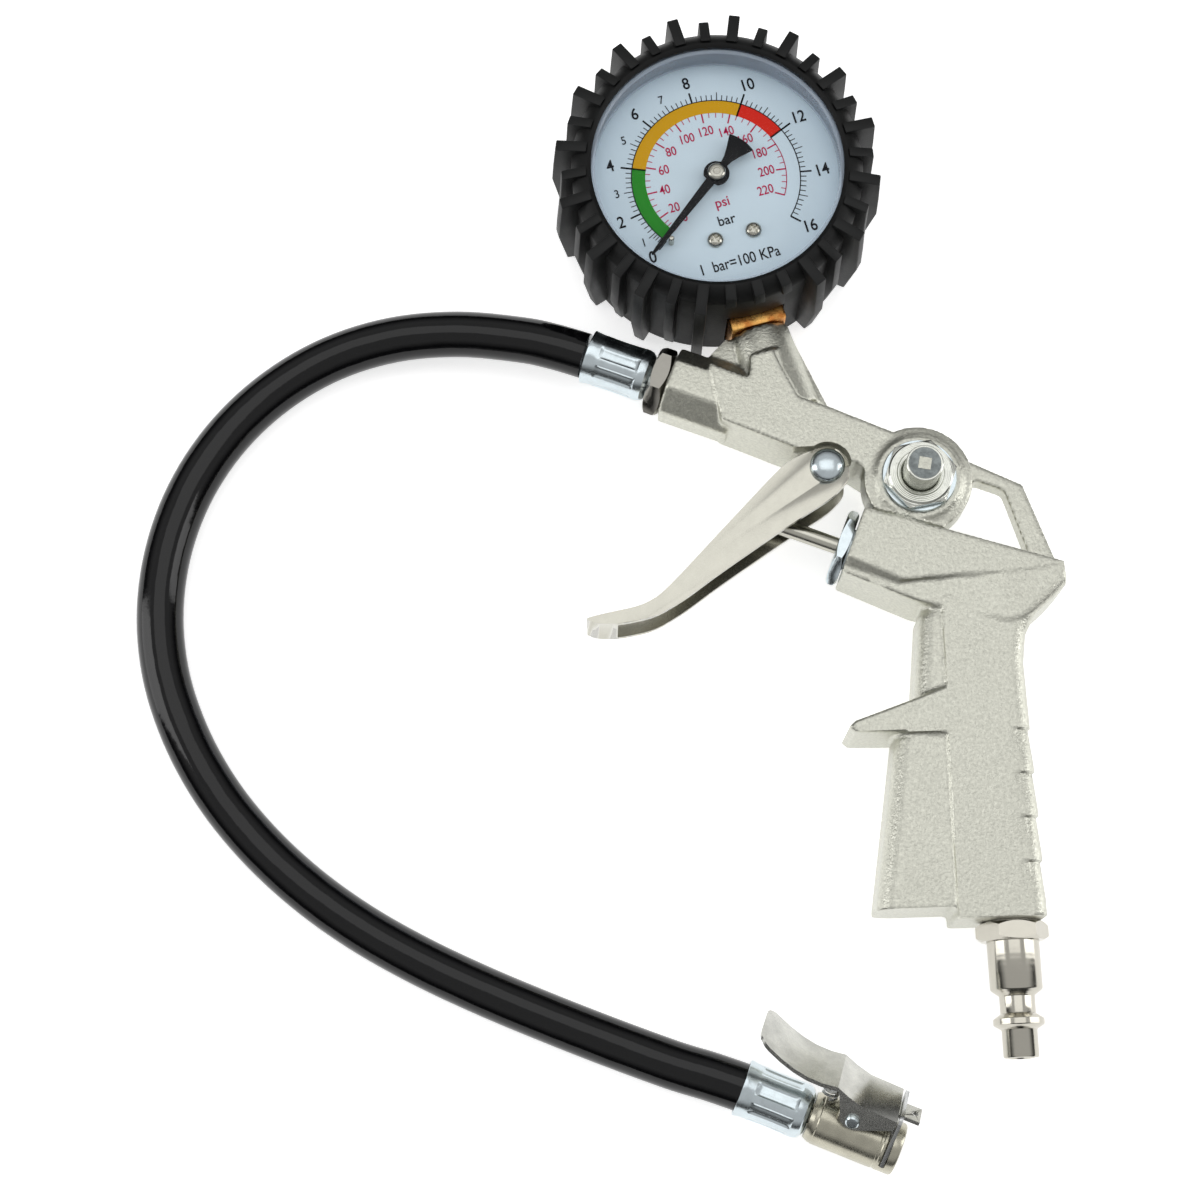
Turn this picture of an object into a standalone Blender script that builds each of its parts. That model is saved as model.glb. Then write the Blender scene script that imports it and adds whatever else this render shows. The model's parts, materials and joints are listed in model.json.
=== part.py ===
"""Tyre inflator with a dial gauge, a squeeze trigger and a hose with a clip-on chuck.

The inflator lies on its side.  +Y runs up the grip from the air plug, +Z is square to the
gun's side, and the gun's middle plane is the XY plane of the frame called "gun".  All
lengths below are millimetres; to_metres() turns them into the scene's metres.
"""

import math

import bmesh
import bpy
from mathutils import Matrix, Vector

MM = 0.001
FIT = 0.3                     # gap between pieces that touch
RUNNING = 0.06                # radial clearance of a turning pin

# The object's own box, which sets where the origin lies
BOX_CENTRE_X = -40.42
BOX_CENTRE_Y = 123.49
REST_Z = -12.0                # the surface it lies on, below the gun's middle plane

# Gun casting
BARREL_TILT = -22.0           # degrees from +X, for the barrel and the valve chamber
GRIP_HALF = 10.8
WEB_HALF = 9.5
BARREL_HALF = 9.4
LOOP_HALF = 2.9
LUG_HALF = 5.2
GRIP_NOTCHES = (42.6, 52.6, 62.6, 72.6)
PIVOT = (-36.0, 136.4)
PIVOT_PIN_R = 2.0

# Valve chamber, along its own axis from the housing's front face
CHAMBER_FACE = (-31.3, 118.0)
CHAMBER_R = 5.3
CHAMBER_DEPTH = 34.0
GLAND_AF = 13.0
ROD_R = 2.0
ROD_TIP = -24.05
SEAT_START = 13.6
POPPET_START = 17.3
POPPET_END = 20.3

# Barrel and hose outlet, outwards from the barrel's front face
BARREL_FACE = (-71.7, 160.3)
BARREL_BORE_R = 5.1
NIPPLE_HEX_AF = 15.0
FERRULE_START = 4.6
FERRULE_LENGTH = 16.0

# Bleed valve
BLEED = (-15.3, 132.2)
BLEED_BOSS_Z = 10.5
BUTTON_R = 4.25
BUTTON_TOP = 21.0

# Gauge, round its dial's centre; its stem leaves at 6 o'clock of the dial
DIAL_CENTRE = (-58.87, 208.11)
DIAL_TURN = 14.0              # degrees anticlockwise, dial's 12 o'clock from +Y
DIAL_Z = 11.0
DIAL_R = 30.0
CASE_R = 31.2
BOOT_R = 34.2
BOOT_FRONT = 20.6
BOSS_TOP = -37.2
TREADS = 32
FIRST_TREAD = 81.4            # degrees from +X
SCREW_PLACES = ((-4.7, -15.3), (4.7, -15.3))
GEAR_MODULE = 0.28
PINION_TEETH = 8
SECTOR_TEETH = 60             # on the full circle
SECTOR_BEARING = 215.0        # degrees, where the sector's arbor lies from the pinion

# Air plug, up the grip's axis from its open end
PLUG_HEX_AF = 14.3
PLUG_HEX = (25.8, 29.9)

# Chuck, along its own axis from the ferrule's open end
CHUCK_START = (-61.35, -4.2, -5.4)
CHUCK_TURN = -23.4            # degrees from +X
CHUCK_ROLL = 39.0             # degrees, how far the thumb lever leans over
CHUCK_R = 6.0
CHUCK_BODY = (15.6, 36.6)
CHUCK_PIN = (24.1, 7.1)       # along the chuck, above its axis
JAW_SLOT = (33.1, 34.5)
LEVER_HALF = 6.6

HOSE_R = 5.5
# Middle line of the hose, chosen by hand from the gun's ferrule to the chuck's
HOSE_ROUTE = (
    (-91.4, 168.2, 0.0), (-98.9, 170.9, -0.2), (-106.8, 173.1, -0.8), (-121.7, 175.6, -2.4),
    (-137.3, 175.4, -4.2), (-152.3, 171.6, -5.6), (-165.8, 164.1, -6.3), (-177.1, 153.6, -6.5),
    (-185.7, 140.7, -6.5), (-191.1, 126.3, -6.5), (-193.2, 110.9, -6.5), (-191.8, 95.5, -6.5),
    (-187.1, 80.8, -6.5), (-179.8, 67.1, -6.5), (-170.4, 54.9, -6.5), (-159.2, 44.0, -6.5),
    (-146.9, 34.7, -6.5), (-133.6, 26.7, -6.5), (-119.8, 19.7, -6.5), (-105.7, 13.3, -6.5),
    (-91.4, 7.2, -6.4), (-77.2, 1.5, -6.0), (-69.0, -1.3, -5.6), (-61.7, -4.05, -5.4),
)


# ---------------------------------------------------------------- scene and materials

def clear_scene():
    """Remove every object and empty collection the file opened with."""
    for obj in list(bpy.data.objects):
        bpy.data.objects.remove(obj, do_unlink=True)
    for group in list(bpy.data.collections):
        bpy.data.collections.remove(group)


def new_collection(name):
    """Make a collection and link it to the scene."""
    group = bpy.data.collections.new(name)
    bpy.context.scene.collection.children.link(group)
    return group


def principled(name, colour, roughness, metallic=0.0, alpha=1.0):
    """Make a plain Principled material."""
    mat = bpy.data.materials.new(name)
    mat.use_nodes = True
    shader = mat.node_tree.nodes["Principled BSDF"]
    shader.inputs["Base Color"].default_value = (*colour, 1.0)
    shader.inputs["Roughness"].default_value = roughness
    shader.inputs["Metallic"].default_value = metallic
    shader.inputs["Alpha"].default_value = alpha
    return mat


clear_scene()
PARTS = new_collection("tyre_inflator")
CUTTERS = new_collection("cutters")

CAST = principled("cast_nickel", (0.60, 0.60, 0.53), 0.45, 1.0)
NICKEL = principled("polished_nickel", (0.72, 0.70, 0.62), 0.18, 1.0)
ZINC = principled("bright_zinc", (0.62, 0.70, 0.74), 0.20, 1.0)
DARK_NICKEL = principled("dark_nickel", (0.40, 0.38, 0.34), 0.20, 1.0)
STEEL = principled("spring_steel", (0.55, 0.56, 0.56), 0.30, 1.0)
BRASS = principled("brass", (0.78, 0.50, 0.20), 0.30, 1.0)
RUBBER = principled("black_rubber", (0.015, 0.015, 0.016), 0.60)
HOSE_RUBBER = principled("hose_rubber", (0.008, 0.008, 0.009), 0.22)
SEAL_RUBBER = principled("seal_rubber", (0.02, 0.02, 0.02), 0.70)
DIAL_WHITE = principled("dial_white", (0.66, 0.78, 0.85), 0.50)
POINTER_BLACK = principled("pointer_black", (0.01, 0.01, 0.01), 0.40)
CASE_STEEL = principled("case_steel", (0.10, 0.10, 0.11), 0.40, 1.0)
CLEAR = principled("clear_lens", (0.90, 0.95, 0.97), 0.05, 0.0, 0.25)


# ---------------------------------------------------------------- frames

def make_frame(name, origin, z_axis=(0, 0, 1), x_axis=(1, 0, 0), parent=None):
    """Make an empty at origin whose local Z and X point along the given axes."""
    z_dir = Vector(z_axis).normalized()
    y_dir = z_dir.cross(Vector(x_axis)).normalized()
    x_dir = y_dir.cross(z_dir)
    empty = bpy.data.objects.new(name, None)
    empty.empty_display_size = 0.01
    PARTS.objects.link(empty)
    turn = Matrix((x_dir, y_dir, z_dir)).transposed().to_4x4()
    empty.parent = parent
    empty.matrix_local = Matrix.Translation(Vector(origin) * MM) @ turn
    return empty


def turned_by(degrees):
    """Unit vector in the XY plane, turned anticlockwise from +X."""
    angle = math.radians(degrees)
    return (math.cos(angle), math.sin(angle), 0.0)


ROOT = make_frame("gun", (-BOX_CENTRE_X, -BOX_CENTRE_Y, -REST_Z))
INWARD = turned_by(BARREL_TILT)
OUTWARD = turned_by(BARREL_TILT + 180)
VALVE = make_frame("valve_axis", (*CHAMBER_FACE, 0), INWARD, (0, 0, 1), ROOT)
OUTLET = make_frame("outlet_axis", (*BARREL_FACE, 0), OUTWARD, (0, 0, 1), ROOT)
TRIGGER = make_frame("trigger_axis", (*PIVOT, 0), parent=ROOT)
BLEEDER = make_frame("bleed_axis", (*BLEED, 0), parent=ROOT)
GAUGE = make_frame("gauge_axis", (*DIAL_CENTRE, 0), (0, 0, 1), turned_by(DIAL_TURN), ROOT)
STEM = make_frame("stem_axis", (0, 0, 0), (0, 1, 0), (1, 0, 0), GAUGE)
INLET = make_frame("inlet_axis", (0, 0, 0), (0, 1, 0), (1, 0, 0), ROOT)

CHUCK_LENGTHWAYS = Vector(turned_by(CHUCK_TURN))
CHUCK_ACROSS = Vector(turned_by(CHUCK_TURN + 90))
CHUCK_UP = (CHUCK_ACROSS * math.cos(math.radians(CHUCK_ROLL))
            + Vector((0, 0, math.sin(math.radians(CHUCK_ROLL)))))
# Local X is the chuck's up, local Y its pin's direction and local Z its length
CHUCK = make_frame("chuck_axis", CHUCK_START, CHUCK_LENGTHWAYS, CHUCK_UP, ROOT)


# ---------------------------------------------------------------- shapes

def link(name, mesh, frame, mat=None, cutter=False):
    """Put a mesh in the scene as a part, or as a hidden cutter."""
    obj = bpy.data.objects.new(name, mesh)
    obj.parent = frame
    if cutter:
        CUTTERS.objects.link(obj)
        obj.display_type = 'WIRE'
        obj.hide_render = True
    else:
        PARTS.objects.link(obj)
        obj.data.materials.append(mat)
    return obj


def mesh_from(name, bm):
    """Turn a bmesh in millimetres into a mesh in metres."""
    bmesh.ops.scale(bm, vec=(MM, MM, MM), verts=bm.verts)
    bmesh.ops.recalc_face_normals(bm, faces=bm.faces)
    mesh = bpy.data.meshes.new(name)
    bm.to_mesh(mesh)
    bm.free()
    return mesh


def smooth(obj):
    """Shade a round piece smooth, with its hard edges kept."""
    obj.data.shade_smooth()
    obj.data.set_sharp_from_angle(angle=math.radians(40))


def box(name, low, high, frame, mat=None, cutter=False):
    """A box between two corners."""
    size = [b - a for a, b in zip(low, high)]
    centre = [(a + b) / 2 for a, b in zip(low, high)]
    bm = bmesh.new()
    bmesh.ops.create_cube(bm, size=1)
    bmesh.ops.scale(bm, vec=size, verts=bm.verts)
    bmesh.ops.translate(bm, vec=centre, verts=bm.verts)
    return link(name, mesh_from(name, bm), frame, mat, cutter)


def cone(name, r_low, r_high, low, high, frame, mat=None, cutter=False, sides=20, at=(0, 0)):
    """A cone or cylinder along local Z."""
    bm = bmesh.new()
    bmesh.ops.create_cone(bm, cap_ends=True, segments=sides, radius1=r_low, radius2=r_high,
                          depth=high - low)
    bmesh.ops.translate(bm, vec=(*at, (low + high) / 2), verts=bm.verts)
    obj = link(name, mesh_from(name, bm), frame, mat, cutter)
    if mat:
        smooth(obj)
    return obj


def hexagon(name, across_flats, low, high, frame, mat=None, cutter=False, turn=0.0):
    """A hexagonal prism along local Z, a corner on local X before it is turned."""
    bm = bmesh.new()
    bmesh.ops.create_cone(bm, cap_ends=True, segments=6, radius1=across_flats / math.sqrt(3),
                          radius2=across_flats / math.sqrt(3), depth=high - low)
    bmesh.ops.rotate(bm, matrix=Matrix.Rotation(math.radians(turn), 3, 'Z'), verts=bm.verts)
    bmesh.ops.translate(bm, vec=(0, 0, (low + high) / 2), verts=bm.verts)
    return link(name, mesh_from(name, bm), frame, mat, cutter)


def lathe(name, profile, frame, mat=None, cutter=False, steps=24, ring=False):
    """Turn a profile of (radius, height), top to bottom, about local Z."""
    mesh = bpy.data.meshes.new(name)
    points = [(radius * MM, 0, height * MM) for radius, height in profile]
    edges = [(i, i + 1) for i in range(len(points) - 1)]
    if ring:
        edges.append((len(points) - 1, 0))
    mesh.from_pydata(points, edges, [])
    obj = link(name, mesh, frame, mat, cutter)
    screw = obj.modifiers.new("turn", 'SCREW')
    screw.steps = steps
    screw.render_steps = steps
    screw.use_merge_vertices = True
    screw.merge_threshold = 0.00001
    return obj


def plate(name, outline, low, high, frame, mat=None, cutter=False):
    """Extrude a flat outline between two heights of local Z."""
    curve = bpy.data.curves.new(name, 'CURVE')
    curve.dimensions = '2D'
    curve.fill_mode = 'BOTH'
    curve.extrude = (high - low) / 2 * MM
    spline = curve.splines.new('POLY')
    spline.points.add(len(outline) - 1)
    for point, (x, y) in zip(spline.points, outline):
        point.co = (x * MM, y * MM, 0, 1)
    spline.use_cyclic_u = True
    mesh = mesh_of_curve(name, curve)
    mesh.transform(Matrix.Translation((0, 0, (low + high) / 2 * MM)))
    return link(name, mesh, frame, mat, cutter)


def mesh_of_curve(name, curve):
    """Turn a curve into a closed mesh, with its caps welded on."""
    guide = bpy.data.objects.new(name + "_curve", curve)
    bpy.context.scene.collection.objects.link(guide)
    depsgraph = bpy.context.evaluated_depsgraph_get()
    mesh = bpy.data.meshes.new_from_object(guide.evaluated_get(depsgraph))
    bpy.data.objects.remove(guide, do_unlink=True)
    mesh.name = name
    bm = bmesh.new()
    bm.from_mesh(mesh)
    bmesh.ops.remove_doubles(bm, verts=bm.verts, dist=0.000001)
    bmesh.ops.recalc_face_normals(bm, faces=bm.faces)
    bm.to_mesh(mesh)
    bm.free()
    return mesh


def wire(name, points, radius, frame, mat, resolution=1):
    """A round wire through points in millimetres."""
    curve = bpy.data.curves.new(name, 'CURVE')
    curve.dimensions = '3D'
    curve.bevel_depth = radius * MM
    curve.bevel_resolution = resolution
    curve.use_fill_caps = True
    spline = curve.splines.new('POLY')
    spline.points.add(len(points) - 1)
    for point, place in zip(spline.points, points):
        point.co = (*(Vector(place) * MM), 1)
    obj = link(name, mesh_of_curve(name, curve), frame, mat)
    smooth(obj)
    return obj


def coil(name, radius, wire_r, low, high, turns, frame, mat, per_turn=9):
    """A compression spring along local Z."""
    steps = int(turns * per_turn)
    points = []
    for i in range(steps + 1):
        angle = 2 * math.pi * i / per_turn
        height = low + wire_r + (high - low - 2 * wire_r) * i / steps
        points.append((radius * math.cos(angle), radius * math.sin(angle), height))
    return wire(name, points, wire_r, frame, mat)


def arc(centre, radius, start, end, steps):
    """Points on an arc, in degrees."""
    points = []
    for i in range(steps + 1):
        angle = math.radians(start + (end - start) * i / steps)
        points.append((centre[0] + radius * math.cos(angle), centre[1] + radius * math.sin(angle)))
    return points


def boolean(target, other, operation):
    """Cut other from target, or join it on."""
    mod = target.modifiers.new(other.name, 'BOOLEAN')
    mod.operation = operation
    mod.object = other
    mod.solver = 'EXACT'


def cut(target, *cutters):
    """Cut each cutter from the target."""
    for cutter in cutters:
        boolean(target, cutter, 'DIFFERENCE')


def join(target, *pieces):
    """Join each piece to the target."""
    for piece in pieces:
        boolean(target, piece, 'UNION')


def round_edges(obj, width, segments=2, angle=50):
    """Round the edges sharper than an angle."""
    mod = obj.modifiers.new("round", 'BEVEL')
    mod.width = width * MM
    mod.segments = segments
    mod.limit_method = 'ANGLE'
    mod.angle_limit = math.radians(angle)


# ---------------------------------------------------------------- gun casting

GRIP_OUTLINE = (
    (-13.2, 30.2), (6.9, 30.2), (6.6, 60.0), (6.0, 88.0), (6.9, 94.5), (9.6, 99.5),
    (13.6, 104.6), (-11.9, 103.4), (-12.4, 78.0),
)
WEB_OUTLINE = (
    (-30.9, 32.9), (0.0, 32.9), (0.0, 108.0), (-13.0, 107.0), (-16.9, 100.0), (-19.4, 79.0),
    (-24.2, 72.0),
)
FINGER_REST_OUTLINE = (
    (-10.0, 83.2), (-14.0, 82.2), (-21.3, 79.6), (-33.4, 75.5), (-34.9, 74.1), (-33.4, 72.8),
    (-10.0, 72.2),
)
HOUSING_OUTLINE = (
    (-34.3, 110.7), (-17.6, 102.8), (0.0, 97.0), (9.4, 99.2), (13.9, 102.9), (17.0, 106.0),
    (16.7, 111.0), (-28.2, 125.5),
)
BARREL_OUTLINE = (
    (-60.2, 148.2), (-44.2, 141.0), (-38.0, 138.2), (-29.8, 136.8), (-25.5, 133.6),
    (-25.3, 127.6), (-22.0, 118.0), (-12.0, 117.0), (-3.0, 131.0), (-3.4, 136.6),
    (-16.3, 141.9), (-34.5, 150.3), (-41.9, 153.3), (-45.0, 166.0), (-52.6, 164.0), (-53.2, 158.3),
    (-62.5, 162.4),
)
GUSSET_OUTLINE = ((-42.6, 171.2), (-33.9, 151.0), (-45.0, 148.0), (-50.0, 160.0), (-47.0, 170.4))
FIN_OUTLINE = ((-62.2, 164.0), (-61.9, 166.2), (-58.0, 170.2), (-52.0, 169.0), (-54.0, 158.0))
LOOP_OUTLINE = (
    (-15.0, 114.0), (16.4, 106.5), (16.9, 111.4), (9.9, 131.9), (-5.0, 139.4), (-15.0, 137.0),
)
LOOP_OPENING = ((-10.6, 121.3), (-1.3, 133.3), (5.5, 130.6), (10.4, 113.9))


def gun_block(name, outline, half, rounding=0.0):
    """One slab of the casting, even about the middle plane."""
    block = plate(name, outline, -half, half, ROOT, cutter=True)
    if rounding:
        round_edges(block, rounding)
    return block


def gun_blocks(gun):
    """The blocks and ribs that the casting is made of, besides its web."""
    join(gun,
         gun_block("grip_block", GRIP_OUTLINE, GRIP_HALF, 2.2),
         gun_block("finger_rest", FINGER_REST_OUTLINE, GRIP_HALF - 0.6),
         gun_block("housing_block", HOUSING_OUTLINE, WEB_HALF, 2.6),
         gun_block("barrel_block", BARREL_OUTLINE, BARREL_HALF, 0.8),
         gun_block("loop_block", LOOP_OUTLINE, LOOP_HALF),
         gun_block("gusset_block", GUSSET_OUTLINE, 3.2),
         gun_block("fin_block", FIN_OUTLINE, 3.0))
    nose = cone("nose_block", 9.0, 9.0, -16.0, 0.0, OUTLET, cutter=True, sides=8)
    nose.rotation_euler.z = math.radians(22.5)
    boss = cone("gauge_boss", 8.8, 7.2, -56.0, BOSS_TOP, STEM, cutter=True)
    bleed = cone("bleed_boss", 10.0, 9.6, 0.0, BLEED_BOSS_Z, BLEEDER, cutter=True, sides=32)
    join(gun, nose, boss, bleed)
    cut(gun, plate("loop_opening", LOOP_OPENING, -20, 20, ROOT, cutter=True))


def ear_recess(side):
    """The pocket that lets one ear of the trigger swing beside the pivot lug."""
    outline = (*arc(PIVOT, 6.2, 45, -45, 6), (-36.0, 126.0), (-60.0, 126.0), (-50.0, 141.4),
               *arc(PIVOT, 6.2, 120, 60, 4))
    low, high = sorted((side * LUG_HALF, side * 14.0))
    return plate("ear_recess", outline, low, high, ROOT, cutter=True)


def grip_notch(height):
    """One sawtooth step across the back of the grip."""
    outline = ((1.2, height), (12.0, height), (12.0, height - 8.0), (6.2, height - 8.0),
               (5.6, height - 0.9))
    notch = plate("grip_notch", outline, -14, 14, ROOT, cutter=True)
    return notch


def gun_passages(gun):
    """Every bore of the casting: inlet, valve chamber, barrel, gauge port, bleed and pivot."""
    inlet = cone("inlet_bore", 3.2, 3.2, 25.0, 106.5, INLET, cutter=True, sides=16)
    plug_port = cone("plug_port", 6.5, 6.5, 20.0, 41.5, INLET, cutter=True)
    chamber = cone("chamber_bore", CHAMBER_R, CHAMBER_R, -6.0, CHAMBER_DEPTH, VALVE, cutter=True)
    barrel = cone("barrel_bore", BARREL_BORE_R, BARREL_BORE_R, -12.0, 6.0, OUTLET, cutter=True)
    channel = cone("air_channel", 3.0, 3.0, -62.0, -5.0, OUTLET, cutter=True, sides=16)
    port = cone("gauge_port", 5.0, 5.0, -48.5, -30.0, STEM, cutter=True)
    port_drill = cone("port_drill", 2.2, 2.2, -64.5, -44.0, STEM, cutter=True, sides=12)
    bleed_port = cone("bleed_port", 6.3, 6.3, 3.5, 16.0, BLEEDER, cutter=True)
    bleed_drill = cone("bleed_drill", 1.6, 1.6, -3.2, 5.0, BLEEDER, cutter=True, sides=12)
    crossing = Vector(CHAMBER_FACE) + Vector(INWARD[:2]) * 9.5
    riser_frame = make_frame("riser_axis", (*crossing, 0), turned_by(BARREL_TILT + 90),
                             (0, 0, 1), ROOT)
    riser = cone("riser_drill", 2.5, 2.5, 0.0, 24.1, riser_frame, cutter=True, sides=16)
    pivot = cone("pivot_bore", PIVOT_PIN_R + FIT, PIVOT_PIN_R + FIT, -20, 20, TRIGGER,
                 cutter=True, sides=20)
    cut(gun, inlet, plug_port, chamber, barrel, channel, port, port_drill, bleed_port,
        bleed_drill, riser, pivot)


def make_gun_body():
    """The die-cast gun: grip, valve housing, barrel, gauge boss and hanging loop."""
    gun = plate("gun_body", WEB_OUTLINE, -WEB_HALF, WEB_HALF, ROOT, CAST)
    round_edges(gun, 2.2)
    gun_blocks(gun)
    cut(gun, ear_recess(1), ear_recess(-1))
    lug = (*arc(PIVOT, 4.4, 180, 380, 12), (-31.0, 145.0), (-42.0, 146.0))
    join(gun, gun_block("pivot_lug", lug, LUG_HALF))
    for height in GRIP_NOTCHES:
        cut(gun, grip_notch(height))
    gun_passages(gun)
    return gun


# ---------------------------------------------------------------- air plug and outlet

def make_air_plug():
    """The quick-connect plug screwed into the foot of the grip."""
    profile = (
        (0, 40.5), (6.2, 40.5), (6.2, PLUG_HEX[1] - 1.0), (5.9, PLUG_HEX[1] - 1.0), (5.9, 15.0),
        (4.0, 13.6), (4.0, 9.8), (5.75, 8.6), (5.75, 7.3), (4.0, 6.1), (4.0, 0.5), (3.6, 0),
        (0, 0),
    )
    plug = lathe("air_plug", profile, INLET, NICKEL, steps=20)
    nut = hexagon("plug_hex", PLUG_HEX_AF, *PLUG_HEX, INLET, cutter=True)
    bore = cone("plug_bore", 2.3, 2.3, -2.0, 44.0, INLET, cutter=True, sides=16)
    join(plug, nut)
    cut(plug, bore)
    return plug


def make_hose_nipple():
    """The hexagon nipple that joins the hose to the barrel, with its barbed tail."""
    profile = (
        (0, FERRULE_START + 13.0), (2.6, FERRULE_START + 13.0), (3.1, FERRULE_START + 10.0),
        (2.7, FERRULE_START + 10.0), (3.1, FERRULE_START + 6.0), (2.7, FERRULE_START + 6.0),
        (2.7, 3.0), (4.7, 3.0), (4.7, -9.0), (0, -9.0),
    )
    nipple = lathe("hose_nipple", profile, OUTLET, DARK_NICKEL, steps=16)
    nut = hexagon("nipple_hex", NIPPLE_HEX_AF, FIT, 4.3, OUTLET, cutter=True, turn=30)
    bore = cone("nipple_bore", 1.6, 1.6, -12.0, 22.0, OUTLET, cutter=True, sides=12)
    join(nipple, nut)
    cut(nipple, bore)
    return nipple


def ferrule(name, frame, start, direction, mat):
    """A crimped sleeve, flared at the hose; direction is +1 if it runs up local Z."""
    profile = (
        (6.55, FERRULE_LENGTH), (6.55, 14.6), (6.1, 11.0), (6.05, 5.5), (6.25, 3.0), (5.6, 0.9),
        (4.6, 0.0), (3.4, 0.0), (3.4, 1.2), (5.0, 1.8), (5.0, 12.6), (5.7, FERRULE_LENGTH),
    )
    placed = [(radius, start + direction * height) for radius, height in profile]
    if direction < 0:
        placed.reverse()
    return lathe(name, placed, frame, mat, steps=20, ring=True)


# ---------------------------------------------------------------- inlet valve and trigger

TRIGGER_OUTLINE = (
    (-38.4, 140.6), (-36.0, 141.2), (-33.4, 140.5), (-31.5, 138.4), (-30.9, 135.6),
    (-31.2, 132.6), (-35.3, 128.6), (-45.7, 122.4), (-62.2, 111.5), (-70.4, 105.6),
    (-77.3, 101.7), (-85.2, 100.2), (-91.0, 100.4), (-93.7, 101.7), (-90.1, 102.6),
    (-80.4, 104.4), (-75.4, 107.2), (-60.6, 122.5), (-46.7, 136.7), (-43.0, 139.0),
)
TRIGGER_HOLLOW = (
    (-50.0, 110.0), (-20.0, 126.0), (-24.0, 146.0), (-38.0, 146.0), (-44.6, 136.7),
    (-59.5, 121.5), (-74.4, 106.1), (-79.9, 102.9), (-86.0, 101.9), (-86.0, 96.0),
)
TRIGGER_HALF = 7.5
TRIGGER_SHEET = 1.5


def relative(outline, origin):
    """An outline moved so that origin is its zero."""
    return [(x - origin[0], y - origin[1]) for x, y in outline]


def make_trigger():
    """The channel-section trigger, hollow towards the grip, with an ear at each side."""
    trigger = plate("trigger_lever", relative(TRIGGER_OUTLINE, PIVOT), -TRIGGER_HALF,
                    TRIGGER_HALF, TRIGGER, NICKEL)
    round_edges(trigger, 0.5, segments=1, angle=70)
    inside = TRIGGER_HALF - TRIGGER_SHEET
    hollow = plate("trigger_hollow", relative(TRIGGER_HOLLOW, PIVOT), -inside, inside, TRIGGER,
                   cutter=True)
    bore = cone("trigger_bore", PIVOT_PIN_R + RUNNING, PIVOT_PIN_R + RUNNING, -12, 12, TRIGGER,
                cutter=True, sides=32)
    cut(trigger, hollow, bore)
    return trigger


def make_trigger_pin():
    """The rivet the trigger turns on, with a domed head at each end."""
    under = TRIGGER_HALF + FIT
    dome = [(4.1 * math.cos(math.radians(a)), under + 0.3 + 1.7 * math.sin(math.radians(a)))
            for a in (90, 55, 20)]
    upper = [(max(radius, 0.0), height) for radius, height in dome]
    upper[0] = (0, upper[0][1])
    upper.extend([(4.1, under), (PIVOT_PIN_R, under)])
    lower = [(radius, -height) for radius, height in reversed(upper)]
    return lathe("trigger_pin", upper + lower, TRIGGER, ZINC, steps=24)


def make_push_rod():
    """The rod the trigger pushes, with a round tip."""
    tip = [(ROD_R * math.sin(math.radians(a)), ROD_TIP + ROD_R * (1 - math.cos(math.radians(a))))
           for a in (90, 60, 30, 0)]
    profile = [(0, POPPET_START - FIT), (ROD_R, POPPET_START - FIT), *tip]
    profile[-1] = (0, ROD_TIP)
    return lathe("push_rod", profile, VALVE, NICKEL, steps=20)


def make_gland_nut():
    """The hexagon gland that guides the rod and closes the chamber."""
    nut = hexagon("gland_nut", GLAND_AF, -3.0, -FIT, VALVE, ZINC)
    spigot = cone("gland_spigot", CHAMBER_R - FIT, CHAMBER_R - FIT, -1.5, 5.0, VALVE, cutter=True)
    bore = cone("gland_bore", ROD_R + RUNNING, ROD_R + RUNNING, -6.0, 8.0, VALVE, cutter=True,
                sides=32)
    round_edges(nut, 0.5, segments=1)
    join(nut, spigot)
    cut(nut, bore)
    return nut


def ring(name, inner, outer, low, high, frame, mat, steps=20):
    """A plain ring along local Z."""
    profile = ((outer, high), (outer, low), (inner, low), (inner, high))
    return lathe(name, profile, frame, mat, steps=steps, ring=True)


def make_inlet_valve():
    """The rod's seal, the seat, the poppet and its return spring."""
    ring("rod_seal", ROD_R + 0.2, 5.0, 5.3, 7.3, VALVE, SEAL_RUBBER)
    ring("valve_seat", 3.0, 5.0, SEAT_START, POPPET_START - FIT, VALVE, BRASS)
    poppet = ((0, 23.0), (1.6, 23.0), (1.6, POPPET_END), (4.4, POPPET_END), (4.4, 19.0),
              (3.4, POPPET_START), (0, POPPET_START))
    lathe("valve_poppet", poppet, VALVE, BRASS, steps=24)
    coil("valve_spring", 3.3, 0.45, POPPET_END + FIT, CHAMBER_DEPTH - FIT, 6, VALVE, STEEL)


# ---------------------------------------------------------------- bleed valve

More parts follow.
